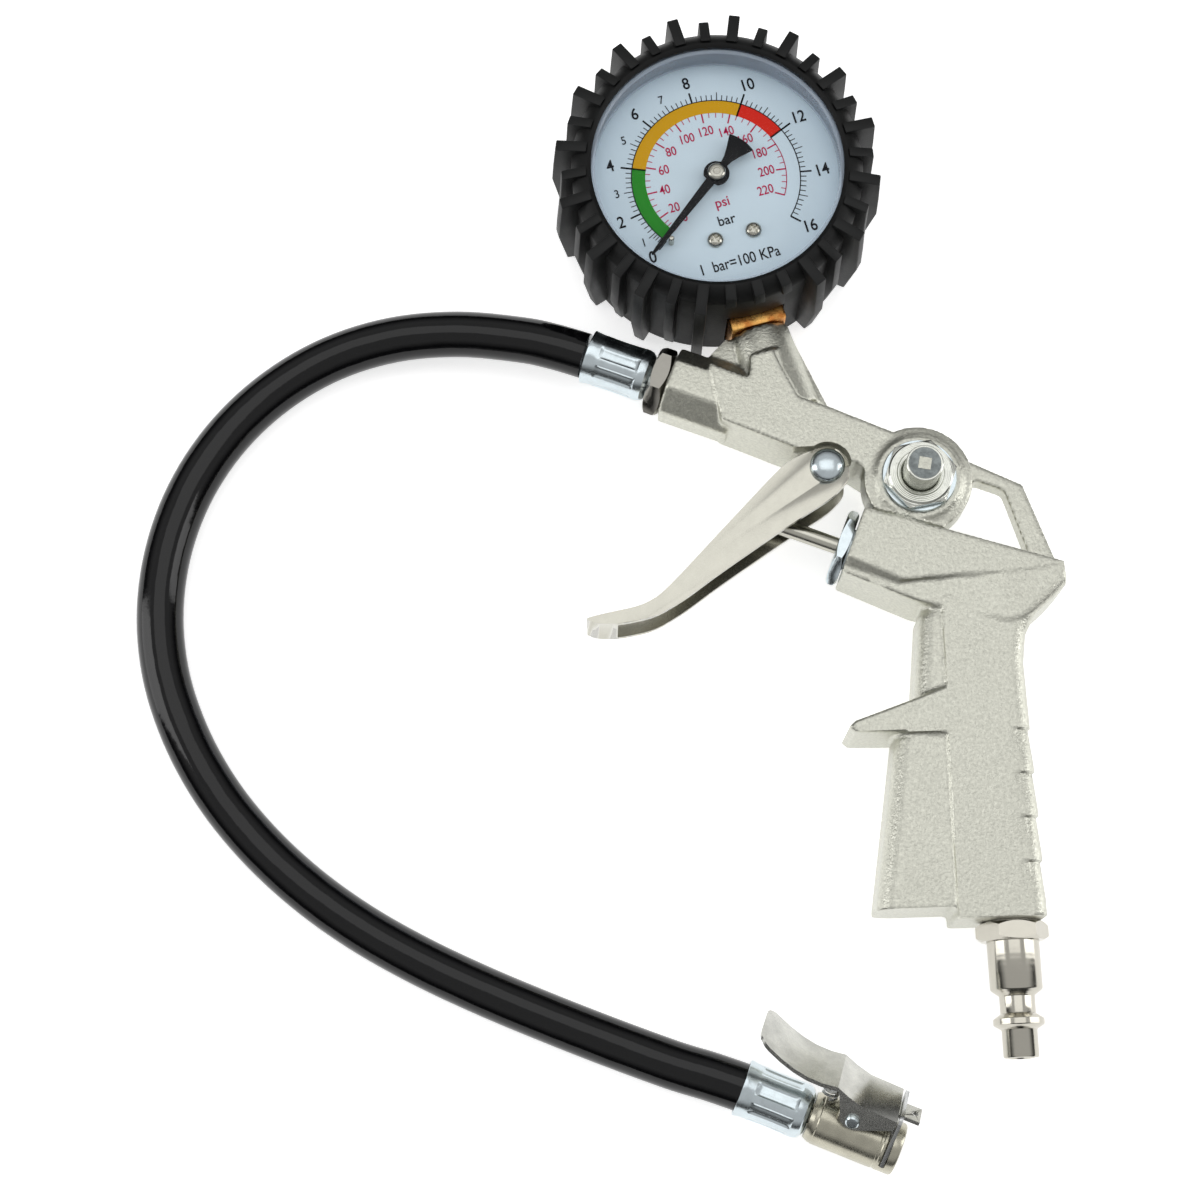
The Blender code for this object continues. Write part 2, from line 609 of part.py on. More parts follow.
def make_bleed_valve():
    """The push button that lets air out, in its nut, over a spring and a rubber seat."""
    ring("bleed_washer", 6.6, 8.5, BLEED_BOSS_Z + FIT, 11.5, BLEEDER, ZINC, steps=24)
    profile = ((7.0, 13.7), (7.4, 13.3), (7.4, 12.6), (6.0, 11.8), (6.0, 4.0), (5.2, 4.0),
               (5.2, 9.9), (BUTTON_R + 0.15, 10.4), (BUTTON_R + 0.15, 13.7))
    nut = lathe("bleed_nut", profile, BLEEDER, NICKEL, steps=24, ring=True)
    flats = hexagon("bleed_hex", 15.0, 11.8, 13.0, BLEEDER, cutter=True, turn=10)
    flats_bore = cone("bleed_hex_bore", 6.0, 6.0, 11.0, 14.0, BLEEDER, cutter=True, sides=24)
    cut(flats, flats_bore)
    join(nut, flats)
    button = ((0, BUTTON_TOP), (BUTTON_R - 0.4, BUTTON_TOP), (BUTTON_R, BUTTON_TOP - 0.4),
              (BUTTON_R, 9.7), (5.0, 9.4), (5.0, 8.2), (1.0, 8.2), (1.0, 0.6), (0, 0.6))
    lathe("bleed_button", button, BLEEDER, DARK_NICKEL, steps=24)
    coil("bleed_spring", 3.2, 0.4, 4.9, 7.9, 3, BLEEDER, STEEL)
    ring("bleed_seal", 1.3, 4.9, 3.8, 4.6, BLEEDER, SEAL_RUBBER)


# ---------------------------------------------------------------- gauge: stem, case and boot

def make_gauge_stem():
    """The square brass stem, with the holder that the movement and dial are screwed to."""
    stem = box("gauge_stem", (-6.75, -6.75, BOSS_TOP + FIT), (6.75, 6.75, -32.2), STEM, BRASS)
    thread = cone("stem_thread", 4.7, 4.7, -47.0, -36.0, STEM, cutter=True)
    neck = cone("stem_neck", 4.6, 4.6, -33.0, -28.0, STEM, cutter=True)
    holder = box("stem_holder", (-8.0, -1.7, -29.0), (8.0, 5.0, -12.5), STEM, cutter=True)
    bore = cone("stem_bore", 1.4, 1.4, -50.0, -20.0, STEM, cutter=True, sides=12)
    join(stem, thread, neck, holder)
    for x, y in SCREW_PLACES:
        post = cone("dial_post", 2.0, 2.0, 0.0, DIAL_Z - 0.6 - FIT, GAUGE, cutter=True,
                    sides=16, at=(x, y))
        tapped = cone("post_bore", 1.2, 1.2, 5.0, DIAL_Z, GAUGE, cutter=True, sides=12, at=(x, y))
        join(stem, post)
        cut(stem, tapped)
    cut(stem, bore)
    return stem


def make_gauge_case():
    """The drawn cup round the movement."""
    profile = ((0, -8.7), (CASE_R - 0.8, -8.7), (CASE_R - 0.8, 18.5), (CASE_R, 18.5),
               (CASE_R, -9.5), (0, -9.5))
    case = lathe("gauge_case", profile, GAUGE, CASE_STEEL, steps=40)
    hole = cone("case_hole", 5.0, 5.0, -33.0, -28.0, STEM, cutter=True)
    cut(case, hole)
    return case


def tread(bearing, large):
    """One rubber tread as (radius, height) points, and where it stands."""
    if abs((bearing - 284.0 + 180) % 360 - 180) < 15:
        side = ((31.6, 20.4), (34.4, 19.7), (35.4, 16.5), (33.0, 15.5))
    elif large:
        side = ((31.2, 20.7), (37.8, 19.6), (39.1, 3.0), (37.4, -10.4), (33.0, -11.4), (33.0, 15.5))
    else:
        side = ((31.6, 20.5), (36.3, 18.8), (37.3, 3.0), (35.8, -8.6), (33.0, -9.6), (33.0, 15.5))
    return side


def tread_ring():
    """All the treads round the boot as separate slabs."""
    bm = bmesh.new()
    for i in range(TREADS):
        bearing = FIRST_TREAD + 360.0 / TREADS * i
        side = tread(bearing, i % 2 == 0)
        half = 1.35 if i % 2 == 0 else 1.2
        turn = Matrix.Rotation(math.radians(bearing - DIAL_TURN), 3, 'Z')
        rings = []
        for y in (-half, half):
            rings.append([bm.verts.new(turn @ Vector((r, y, z))) for r, z in side])
        bm.faces.new(rings[0])
        bm.faces.new(list(reversed(rings[1])))
        for a in range(len(side)):
            b = (a + 1) % len(side)
            bm.faces.new((rings[0][a], rings[1][a], rings[1][b], rings[0][b]))
    return link("tread_ring", mesh_from("tread_ring", bm), GAUGE, cutter=True)


def make_gauge_boot():
    """The rubber boot with treads like a tyre's, open at the front and at the back."""
    profile = (
        (32.4, BOOT_FRONT), (35.2, 17.8), (BOOT_R, REST_Z), (20.0, REST_Z), (20.0, -9.9),
        (CASE_R + FIT, -9.9), (CASE_R + FIT, 18.9), (29.85, 18.9), (29.85, BOOT_FRONT),
    )
    boot = lathe("gauge_boot", profile, GAUGE, RUBBER, steps=48, ring=True)
    join(boot, tread_ring())
    window = box("boot_window", (-7.1, -7.1, -45.0), (7.1, 7.1, -29.0), STEM, cutter=True)
    cut(boot, window)
    return boot


def make_dial_and_lens():
    """The dial, its two screws, the stop pin and the clear lens with its skirt."""
    dial = cone("gauge_dial", DIAL_R, DIAL_R, DIAL_Z - 0.6, DIAL_Z, GAUGE, DIAL_WHITE, sides=40)
    cut(dial, cone("dial_hole", 1.5, 1.5, 5, 15, GAUGE, cutter=True, sides=16))
    for number, (x, y) in enumerate(SCREW_PLACES, start=1):
        cut(dial, cone("screw_hole", 1.25, 1.25, 5, 15, GAUGE, cutter=True, sides=12, at=(x, y)))
        head = ((0, 12.2), (1.3, 12.0), (1.9, DIAL_Z + FIT), (0.9, DIAL_Z + FIT), (0.9, 7.0),
                (0, 7.0))
        screw = lathe(f"dial_screw_{number}", head, GAUGE, NICKEL, steps=16)
        screw.location = (x * MM, y * MM, 0)
    stop = (19.9 * math.sin(math.radians(-131.2)), 19.9 * math.cos(math.radians(-131.2)))
    cone("dial_stop_pin", 0.65, 0.65, DIAL_Z + FIT, 14.3, GAUGE, NICKEL, sides=12, at=stop)
    lens = ((0, 18.4), (29.6, 18.4), (30.1, 18.0), (30.1, DIAL_Z + 0.4), (29.2, DIAL_Z + 0.4),
            (29.2, 16.2), (0, 16.2))
    lathe("gauge_window", lens, GAUGE, CLEAR, steps=40)


# ---------------------------------------------------------------- gauge: movement

PINION_R = GEAR_MODULE * PINION_TEETH / 2
SECTOR_R = GEAR_MODULE * SECTOR_TEETH / 2
SECTOR_AT = (
    (PINION_R + SECTOR_R + 0.06) * math.cos(math.radians(SECTOR_BEARING)),
    (PINION_R + SECTOR_R + 0.06) * math.sin(math.radians(SECTOR_BEARING)),
)
TAIL_BEARING = SECTOR_BEARING - 17.5     # half the sector's travel away from the mesh
TAIL_HOLE = 4.6
TUBE_R = 22.0
TUBE_END = 194.0
PILLARS = ((6.6, -7.6), (-3.8, 6.2))
PLATE_OUTLINE = (
    (-8.0, -18.0), (8.0, -18.0), (9.0, -8.0), (6.0, 5.0), (-3.0, 9.0), (-10.5, 3.0),
    (-10.6, -8.0),
)


def tooth_points(pitch_r, teeth, bearing):
    """The four corners of one gear tooth, at a bearing in degrees."""
    pitch = 360.0 / teeth
    points = []
    for share, height in ((-0.27, -0.28), (-0.14, 0.18), (0.14, 0.18), (0.27, -0.28)):
        angle = math.radians(bearing + share * pitch)
        radius = pitch_r + height
        points.append((radius * math.cos(angle), radius * math.sin(angle)))
    return points


def make_pinion():
    """The pointer's arbor with its pinion."""
    outline = []
    for i in range(PINION_TEETH):
        outline.extend(tooth_points(PINION_R, PINION_TEETH, SECTOR_BEARING + (i + 0.5) * 45.0))
    pinion = plate("pinion_arbor", outline, 4.4, 6.2, GAUGE, BRASS)
    join(pinion, cone("arbor_rod", 0.55, 0.55, 2.2, 13.1, GAUGE, cutter=True, sides=12))
    return pinion


def make_sector_gear():
    """The toothed sector, with a tail that the link pulls; its arbor is its own axis."""
    arbor = make_frame("sector_axis", (*SECTOR_AT, 0), parent=GAUGE)
    in_mesh = SECTOR_BEARING - 180.0
    outline = []
    for i in range(8):
        bearing = in_mesh + 360.0 / SECTOR_TEETH * (i - 6)
        outline.extend(tooth_points(SECTOR_R, SECTOR_TEETH, bearing))
    tail = math.radians(TAIL_BEARING)
    side = math.radians(TAIL_BEARING - 90.0)
    for reach, width in ((0.0, 1.8), (5.6, 1.1), (5.6, -1.1), (0.0, -1.8)):
        outline.append((reach * math.cos(tail) + width * math.cos(side),
                        reach * math.sin(tail) + width * math.sin(side)))
    sector = plate("sector_gear", outline, 4.8, 5.8, arbor, BRASS)
    join(sector, cone("sector_rod", 0.7, 0.7, 2.2, 8.0, arbor, cutter=True, sides=12))
    return sector


def movement_plate(name, low, high):
    """One of the two plates that carry the arbors."""
    slab = plate(name, PLATE_OUTLINE, low, high, GAUGE, BRASS)
    cut(slab, cone("arbor_hole", 0.62, 0.62, 0, 10, GAUGE, cutter=True, sides=24),
        cone("sector_hole", 0.77, 0.77, 0, 10, GAUGE, cutter=True, sides=24, at=SECTOR_AT))
    for at in SCREW_PLACES:
        cut(slab, cone("post_hole", 2.0 + FIT, 2.0 + FIT, 0, 10, GAUGE, cutter=True, sides=16,
                       at=at))
    return slab


def make_movement():
    """Plates, pillars, gears, hairspring, Bourdon tube and its link."""
    movement_plate("movement_plate_back", 2.0, 2.9)
    movement_plate("movement_plate_front", 7.3, 8.1)
    for number, at in enumerate(PILLARS, start=1):
        cone(f"movement_pillar_{number}", 0.9, 0.9, 2.9 + FIT, 7.3 - FIT, GAUGE, BRASS,
             sides=12, at=at)
    make_pinion()
    make_sector_gear()
    spiral = []
    for i in range(40):
        angle = 2 * math.pi * i / 14
        radius = 1.2 + 0.9 * i / 14
        spiral.append((radius * math.cos(angle), radius * math.sin(angle), 6.75))
    wire("hairspring", spiral, 0.12, GAUGE, STEEL, resolution=0)
    tube_along_arc("bourdon_tube", TUBE_R, -66.0, TUBE_END + 2.0, (1.4, 4.0), 1.3)
    tip = turned_by(TUBE_END)
    tail = turned_by(TAIL_BEARING)
    hook = (SECTOR_AT[0] + TAIL_HOLE * tail[0], SECTOR_AT[1] + TAIL_HOLE * tail[1])
    link_frame = make_frame("link_axis", (*hook, 6.55), parent=GAUGE)
    reach = (TUBE_R * tip[0] - hook[0], TUBE_R * tip[1] - hook[1], 0.0)
    halfway = (reach[0] / 2, reach[1] / 2, 0.0)
    wire("tip_link", ((0.0, 0.0, 0.0), halfway, reach), 0.45, link_frame, BRASS)


def tube_along_arc(name, radius, start, end, half_size, z_mid):
    """A flattened tube bent round the dial's axis, closed at both ends."""
    steps = 24
    bm = bmesh.new()
    section = [(half_size[0] * math.cos(math.radians(a)), half_size[1] * math.sin(math.radians(a)))
               for a in range(0, 360, 36)]
    rings = []
    for i in range(steps + 1):
        turn = Matrix.Rotation(math.radians(start + (end - start) * i / steps), 3, 'Z')
        rings.append([bm.verts.new(turn @ Vector((radius + x, 0, z_mid + z))) for x, z in section])
    for low, high in zip(rings, rings[1:]):
        for a in range(len(section)):
            b = (a + 1) % len(section)
            bm.faces.new((low[a], low[b], high[b], high[a]))
    bm.faces.new(rings[0])
    bm.faces.new(rings[-1])
    return link(name, mesh_from(name, bm), GAUGE, BRASS)


def make_pointer():
    """The black pointer with its fan-shaped tail, and the bright cap on its hub."""
    rest = math.radians(90.0 + 127.5)
    blade = [(1.1, 2.5), (0.45, 24.0), (0.2, 25.8), (-0.2, 25.8), (-0.45, 24.0), (-1.1, 2.5)]
    tail = [(-0.8, -2.8), (-1.3, -5.0), (-3.6, -9.4), (-1.9, -10.5), (0.0, -10.8), (1.9, -10.5),
            (3.6, -9.4), (1.3, -5.0), (0.8, -2.8)]
    left = arc((0, 0), 3.1, 120, 240, 6)
    right = arc((0, 0), 3.1, 300, 420, 6)
    outline = blade + left + tail + right
    turn = Matrix.Rotation(rest - math.pi / 2, 2)
    outline = [tuple(turn @ Vector(point)) for point in outline]
    plate("pointer", outline, 13.4, 13.9, GAUGE, POINTER_BLACK)
    cap = ((0, 15.4), (1.6, 15.2), (2.15, 14.8), (2.15, 13.9 + FIT), (0, 13.9 + FIT))
    lathe("pointer_cap", cap, GAUGE, NICKEL, steps=20)


# ---------------------------------------------------------------- hose and chuck

def make_hose():
    """The rubber hose, as a smooth curve through the route's points."""
    points = []
    last = len(HOSE_ROUTE) - 1
    for i in range(last):
        before = Vector(HOSE_ROUTE[max(i - 1, 0)])
        start = Vector(HOSE_ROUTE[i])
        end = Vector(HOSE_ROUTE[i + 1])
        after = Vector(HOSE_ROUTE[min(i + 2, last)])
        count = 2 if (end - start).length > 10 else 1
        for step in range(count):
            t = step / count
            points.append(smooth_point(before, start, end, after, t))
    points.append(Vector(HOSE_ROUTE[last]))
    return wire("hose", points, HOSE_R, ROOT, HOSE_RUBBER, resolution=3)


def smooth_point(before, start, end, after, t):
    """A point on the Catmull-Rom curve between start and end."""
    slope_in = (end - before) / 2
    slope_out = (after - start) / 2
    return ((2 * t ** 3 - 3 * t ** 2 + 1) * start + (t ** 3 - 2 * t ** 2 + t) * slope_in
            + (3 * t ** 2 - 2 * t ** 3) * end + (t ** 3 - t ** 2) * slope_out)


LEVER_LINE = (
    (-1.4, 18.1), (1.6, 16.4), (4.8, 14.9), (8.2, 13.7), (11.5, 13.0), (15.0, 12.9), (18.4, 13.4),
    (21.5, 12.0), (25.2, 10.9), (33.0, 10.6),
)
CHEEK_OUTLINE = ((19.0, 13.0), (21.6, 6.0), (23.0, 4.9), (25.0, 4.9), (33.0, 8.6), (33.0, 10.6),
                 (25.2, 10.9))


def side_plate(name, outline, half_low, half_high, mat=None, cutter=False):
    """Extrude an outline of (along, above) across the chuck, between two places."""
    flipped = [(above, -along) for along, above in outline]
    frame = make_frame(name + "_side", (0, 0, 0), (0, 1, 0), (1, 0, 0), CHUCK)
    return plate(name, flipped, half_low, half_high, frame, mat, cutter)


def make_chuck_body():
    """The chuck's body: barbed tail, bored head, jaw slot and the lug for the lever's pin."""
    start, end = CHUCK_BODY
    profile = ((0, end), (CHUCK_R - 0.5, end), (CHUCK_R, end - 0.5), (CHUCK_R, start + 0.8),
               (CHUCK_R - 0.8, start), (2.8, start), (3.1, 10.0), (2.7, 10.0), (3.1, 6.0),
               (2.7, 6.0), (2.5, 3.4), (0, 3.4))
    body = lathe("chuck_body", profile, CHUCK, CAST, steps=20)
    along, above = CHUCK_PIN
    lug = box("pin_lug", (3.0, -4.4, along - 3.4), (above + 2.3, 4.4, along + 3.4), CHUCK,
              cutter=True)
    bore = cone("chuck_bore", 1.4, 1.4, 0, 30, CHUCK, cutter=True, sides=12)
    mouth = cone("chuck_mouth", 4.05, 4.05, 24.2, 42.0, CHUCK, cutter=True, sides=20)
    slot = box("jaw_slot", (-2.0, -9, JAW_SLOT[0]), (12, 9, JAW_SLOT[1]), CHUCK, cutter=True)
    pin_hole = chuck_cross_cylinder("pin_hole", 1.6 + RUNNING, -9, 9)
    join(body, lug)
    cut(body, bore, mouth, slot, pin_hole)
    return body


def chuck_cross_cylinder(name, radius, low, high, mat=None):
    """A cylinder on the lever's pin axis, across the chuck."""
    along, above = CHUCK_PIN
    frame = make_frame(name + "_axis", (above, 0, along), (0, 1, 0), (1, 0, 0), CHUCK)
    return cone(name, radius, radius, low, high, frame, mat, cutter=mat is None, sides=24)


def make_chuck_lever():
    """The thumb lever: a bent strip with a cheek at each side and a tongue at its nose."""
    upper = [(along, above + 0.5) for along, above in LEVER_LINE]
    lower = [(along, above - 0.5) for along, above in reversed(LEVER_LINE)]
    lever = side_plate("chuck_lever", upper + lower, -LEVER_HALF, LEVER_HALF, NICKEL)
    for low, high in ((-LEVER_HALF, -5.5), (5.5, LEVER_HALF)):
        join(lever, side_plate("lever_cheek", CHEEK_OUTLINE, low, high, cutter=True))
    tongue = box("lever_tongue", (9.6, -2.6, 31.0), (10.5, 2.6, 38.0), CHUCK, cutter=True)
    join(lever, tongue)
    hole = cone("tongue_hole", 0.75, 0.75, 5.0, 15.0,
                make_frame("tongue_axis", (0, 0, 36.6), (1, 0, 0), (0, 1, 0), CHUCK),
                cutter=True, sides=12)
    cut(lever, hole, chuck_cross_cylinder("lever_bore", 1.6 + RUNNING, -9, 9))
    return lever


def make_chuck_jaw():
    """The jaw plate that grips a valve's thread, with a window for the lever's tongue."""
    low, high = JAW_SLOT
    jaw = box("chuck_jaw", (-1.7, -6.3, low + FIT), (12.0, 6.3, high - FIT), CHUCK, STEEL)
    grip = cone("jaw_arch", 4.15, 4.15, 30, 38, CHUCK, cutter=True, sides=20, at=(-0.45, 0))
    throat = box("jaw_throat", (-9.0, -4.15, 30), (-0.45, 4.15, 38), CHUCK, cutter=True)
    window = box("jaw_window", (8.8, -3.1, 30), (10.95, 3.1, 38), CHUCK, cutter=True)
    cut(jaw, grip, throat, window)
    return jaw


def make_chuck_inside():
    """The gasket and the pin that opens a tyre valve's core."""
    ring("chuck_gasket", 1.9, 3.7, 25.9, 29.5, CHUCK, SEAL_RUBBER)
    pin = ((0, 31.0), (0.9, 31.0), (0.9, 25.5), (3.6, 25.5), (3.6, 24.6), (0, 24.6))
    lathe("chuck_depressor", pin, CHUCK, BRASS, steps=20)
    spring_frame = make_frame("chuck_spring_axis", (0, 0, 17.9), (1, 0, 0), (0, 1, 0), CHUCK)
    coil("chuck_spring", 1.7, 0.35, CHUCK_R + FIT, 12.3, 5, spring_frame, STEEL, per_turn=10)


# ---------------------------------------------------------------- assembly

make_gun_body()
make_air_plug()
make_hose_nipple()
ferrule("gun_ferrule", OUTLET, FERRULE_START, 1, ZINC)
make_trigger()
make_trigger_pin()
make_push_rod()
make_gland_nut()
make_inlet_valve()
make_bleed_valve()
make_gauge_stem()
make_gauge_case()
make_gauge_boot()
make_dial_and_lens()
make_movement()
make_pointer()
make_hose()
ferrule("chuck_ferrule", CHUCK, FERRULE_LENGTH - 0.7, -1, ZINC)
make_chuck_body()
make_chuck_lever()
chuck_cross_cylinder("chuck_pin", 1.6, -7.6, 7.6, ZINC)
make_chuck_jaw()
make_chuck_inside()
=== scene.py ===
"""Looks of a hand-held tyre inflator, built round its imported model.

Every class below models one sub-assembly.  Shapes are worked out in millimetres in the
sub-assembly's own axes and then settled into the row frame, so that each finished object
sits at the origin with its place in its mesh.
"""

from __future__ import annotations

import json
import logging
import math
from collections.abc import Callable, Iterable, Sequence
from dataclasses import dataclass, field
from enum import Enum

import bmesh
import bpy
from mathutils import Matrix, Vector

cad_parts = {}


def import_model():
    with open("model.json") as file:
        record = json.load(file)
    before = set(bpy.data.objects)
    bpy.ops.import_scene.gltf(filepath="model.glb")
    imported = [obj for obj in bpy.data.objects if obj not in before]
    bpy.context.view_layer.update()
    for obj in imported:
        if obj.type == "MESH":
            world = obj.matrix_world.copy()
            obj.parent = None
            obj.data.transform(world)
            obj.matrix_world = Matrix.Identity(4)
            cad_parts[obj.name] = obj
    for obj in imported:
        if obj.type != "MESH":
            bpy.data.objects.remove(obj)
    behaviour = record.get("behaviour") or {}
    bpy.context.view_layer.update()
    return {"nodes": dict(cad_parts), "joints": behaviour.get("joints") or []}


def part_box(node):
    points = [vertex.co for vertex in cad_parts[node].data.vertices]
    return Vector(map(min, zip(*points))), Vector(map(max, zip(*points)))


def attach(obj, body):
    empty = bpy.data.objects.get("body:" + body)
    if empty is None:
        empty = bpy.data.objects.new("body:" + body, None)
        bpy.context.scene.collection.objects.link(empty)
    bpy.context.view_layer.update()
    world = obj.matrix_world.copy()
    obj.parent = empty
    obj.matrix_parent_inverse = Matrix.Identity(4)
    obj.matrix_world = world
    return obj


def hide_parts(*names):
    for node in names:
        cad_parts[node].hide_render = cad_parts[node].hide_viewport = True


LOG = logging.getLogger("tyre_inflator")
MM = 0.001

Point2 = tuple[float, float]
Point3 = tuple[float, float, float]
Colour = tuple[float, float, float]


class Body(str, Enum):
    """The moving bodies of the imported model."""

    GUN = "gun"
    TRIGGER = "trigger"
    ROD = "push_rod"
    BUTTON = "bleed_button"
    POINTER = "pointer"
    LEVER = "chuck_lever"
    JAW = "chuck_jaw"


# ------------------------------------------------------------------------ places


@dataclass(frozen=True)
class Place:
    """A set of axes in the row frame, in metres, that a sub-assembly is drawn in."""

    origin: Vector
    x: Vector
    y: Vector
    z: Vector

    def matrix(self) -> Matrix:
        """Matrix from this place's millimetres to the row frame's metres."""
        turn = Matrix((self.x, self.y, self.z)).transposed().to_4x4()
        return Matrix.Translation(self.origin) @ turn @ Matrix.Scale(MM, 4)

    def moved(self, x: float = 0.0, y: float = 0.0, z: float = 0.0) -> Place:
        """The same axes, moved by millimetres along them."""
        shift = (self.x * x + self.y * y + self.z * z) * MM
        return Place(self.origin + shift, self.x, self.y, self.z)

    def facing(self, z: Vector, x: Vector) -> Place:
        """The same origin, with local Z and X along the given directions of this place.

        Args:
            z: Direction of the new Z, in this place's own axes.
            x: Rough direction of the new X, in this place's own axes.

        Returns:
            The turned place.
        """
        turn = Matrix((self.x, self.y, self.z)).transposed()
        z_dir = (turn @ z).normalized()
        y_dir = z_dir.cross(turn @ x).normalized()
        return Place(self.origin, y_dir.cross(z_dir), y_dir, z_dir)


@dataclass(frozen=True)
class Layout:
    """Every place that the sub-assemblies are drawn in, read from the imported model."""

    gun: Place
    valve: Place
    outlet: Place
    pivot: Place
    bleed: Place
    dial: Place
    stem: Place
    plug: Place
    chuck: Place

    @classmethod
    def from_model(cls, joints: Sequence[dict]) -> Layout:
        """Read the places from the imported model's joints and nodes.

        Args:
            joints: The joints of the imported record.

        Returns:
            The layout.
        """
        named = {joint["name"]: joint for joint in joints}
        across, up, out = Vector((1, 0, 0)), Vector((0, 1, 0)), Vector((0, 0, 1))
        low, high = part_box("air_plug")
        gun = Place(Vector(((low.x + high.x) / 2, low.y, (low.z + high.z) / 2)), across, up, out)
        inward = Vector(named["push_rod_slide"]["axis"])
        face = Vector((-31.3, 118.0, 0.0)) * MM + gun.origin
        nose = Vector((-71.7, 160.3, 0.0)) * MM + gun.origin
        valve = Place(face, across, up, out).facing(inward, out)
        outlet = Place(nose, across, up, out).facing(-inward, out)
        dial_at = Vector(named["pointer_turn"]["pos_m"])
        down = Vector((math.sin(math.radians(14.0)), -math.cos(math.radians(14.0)), 0.0))
        dial = Place(dial_at, down.cross(out) * -1.0, down * -1.0, out)
        stem = dial.facing(up, across)
        pivot = Place(Vector(named["trigger_pull"]["pos_m"]), across, up, out)
        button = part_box("bleed_button")
        bleed_at = Vector(((button[0].x + button[1].x) / 2, (button[0].y + button[1].y) / 2,
                           gun.origin.z))
        bleed = Place(bleed_at, across, up, out)
        rise = Vector(named["chuck_jaw_slide"]["axis"])
        pin = Vector(named["chuck_lever_press"]["axis"])
        along = rise.cross(pin).normalized()
        start = Vector(named["chuck_lever_press"]["pos_m"]) - (along * 24.1 + rise * 7.1) * MM
        chuck = Place(start, rise, pin, along)
        return cls(gun, valve, outlet, pivot, bleed, dial, stem, gun.facing(up, across), chuck)


# ------------------------------------------------------------------------ bench tools


def deselect() -> None:
    """Leave edit mode and deselect every object."""
    if bpy.context.object and bpy.context.object.mode != "OBJECT":
        bpy.ops.object.mode_set(mode="OBJECT")
    bpy.ops.object.select_all(action="DESELECT")


def pick(obj: bpy.types.Object) -> bpy.types.Object:
    """Make one object the only selected and the active one."""
    deselect()
    obj.select_set(True)
    bpy.context.view_layer.objects.active = obj
    return obj


def edit(obj: bpy.types.Object, select: str = "SELECT") -> None:
    """Open an object in edit mode with all of it selected, or none."""
    pick(obj)
    bpy.ops.object.mode_set(mode="EDIT")
    bpy.ops.mesh.select_mode(type="VERT")
    bpy.ops.mesh.select_all(action=select)


def close() -> None:
    """Leave edit mode."""
    bpy.ops.object.mode_set(mode="OBJECT")


def recalculate(obj: bpy.types.Object, merge: float = 0.0005) -> bpy.types.Object:
    """Merge doubles and turn every face outwards."""
    edit(obj)
    bpy.ops.mesh.remove_doubles(threshold=merge)
    bpy.ops.mesh.normals_make_consistent(inside=False)
    close()
    return obj


def apply_all(obj: bpy.types.Object) -> bpy.types.Object:
    """Apply every modifier of an object."""
    pick(obj)
    for modifier in list(obj.modifiers):
        bpy.ops.object.modifier_apply(modifier=modifier.name)
    return obj


def settle(obj: bpy.types.Object, place: Place) -> bpy.types.Object:
    """Put a piece drawn in millimetres into the row frame, with its place in its mesh."""
    obj.matrix_world = place.matrix() @ obj.matrix_world
    pick(obj)
    bpy.ops.object.transform_apply(location=True, rotation=True, scale=True)
    return obj


def smooth(obj: bpy.types.Object, angle: float = 35.0) -> bpy.types.Object:
    """Shade a piece smooth up to an angle in degrees."""
    pick(obj)
    bpy.ops.object.shade_smooth_by_angle(angle=math.radians(angle))
    return obj


def turned(name: str, profile: Sequence[Point2], steps: int = 96) -> bpy.types.Object:
    """Spin a profile about local Z.

    Args:
        name: Name of the new object.
        profile: Points of (radius, height) in millimetres.  A profile that starts and ends
            on the axis makes a solid, and one that returns to its first point makes a ring.
        steps: Steps of the spin.

    Returns:
        The turned object, closed, its faces outwards.
    """
    deselect()
    bpy.ops.mesh.primitive_plane_add(size=0.1, location=(0, 0, 0))
    obj = bpy.context.object
    obj.name = name
    bpy.ops.object.mode_set(mode="EDIT")
    bpy.ops.mesh.merge(type="CENTER")
    first = profile[0]
    bpy.ops.transform.translate(value=(first[0], 0, first[1]))
    for (r0, z0), (r1, z1) in zip(profile, profile[1:]):
        bpy.ops.mesh.extrude_vertices_move(TRANSFORM_OT_translate={"value": (r1 - r0, 0, z1 - z0)})
    bpy.ops.mesh.select_all(action="SELECT")
    bpy.ops.mesh.spin(steps=steps, angle=math.tau, center=(0, 0, 0), axis=(0, 0, 1))
    close()
    return smooth(recalculate(obj))


def slab(name: str, outline: Sequence[Point2], low: float, high: float) -> bpy.types.Object:
    """Fill a flat outline and extrude it between two heights.

    Args:
        name: Name of the new object.
        outline: Corners of the outline in millimetres.
        low: Lower height.
        high: Upper height.

    Returns:
        The slab.
    """
    curve = bpy.data.curves.new(name, "CURVE")
    curve.dimensions = "2D"
    curve.fill_mode = "FRONT"
    spline = curve.splines.new("POLY")
    spline.points.add(len(outline) - 1)
    for point, (x, y) in zip(spline.points, outline):
        point.co = (x, y, 0, 1)
    spline.use_cyclic_u = True
    obj = bpy.data.objects.new(name, curve)
    bpy.context.scene.collection.objects.link(obj)
    pick(obj)
    bpy.ops.object.convert(target="MESH")
    obj = bpy.context.object
    edit(obj)
    bpy.ops.mesh.remove_doubles(threshold=0.0001)
    bpy.ops.mesh.dissolve_limited(angle_limit=0.002)
    bpy.ops.transform.translate(value=(0, 0, low))
    bpy.ops.mesh.extrude_region_move(TRANSFORM_OT_translate={"value": (0, 0, high - low)})
    close()
    return recalculate(obj, 0.0001)


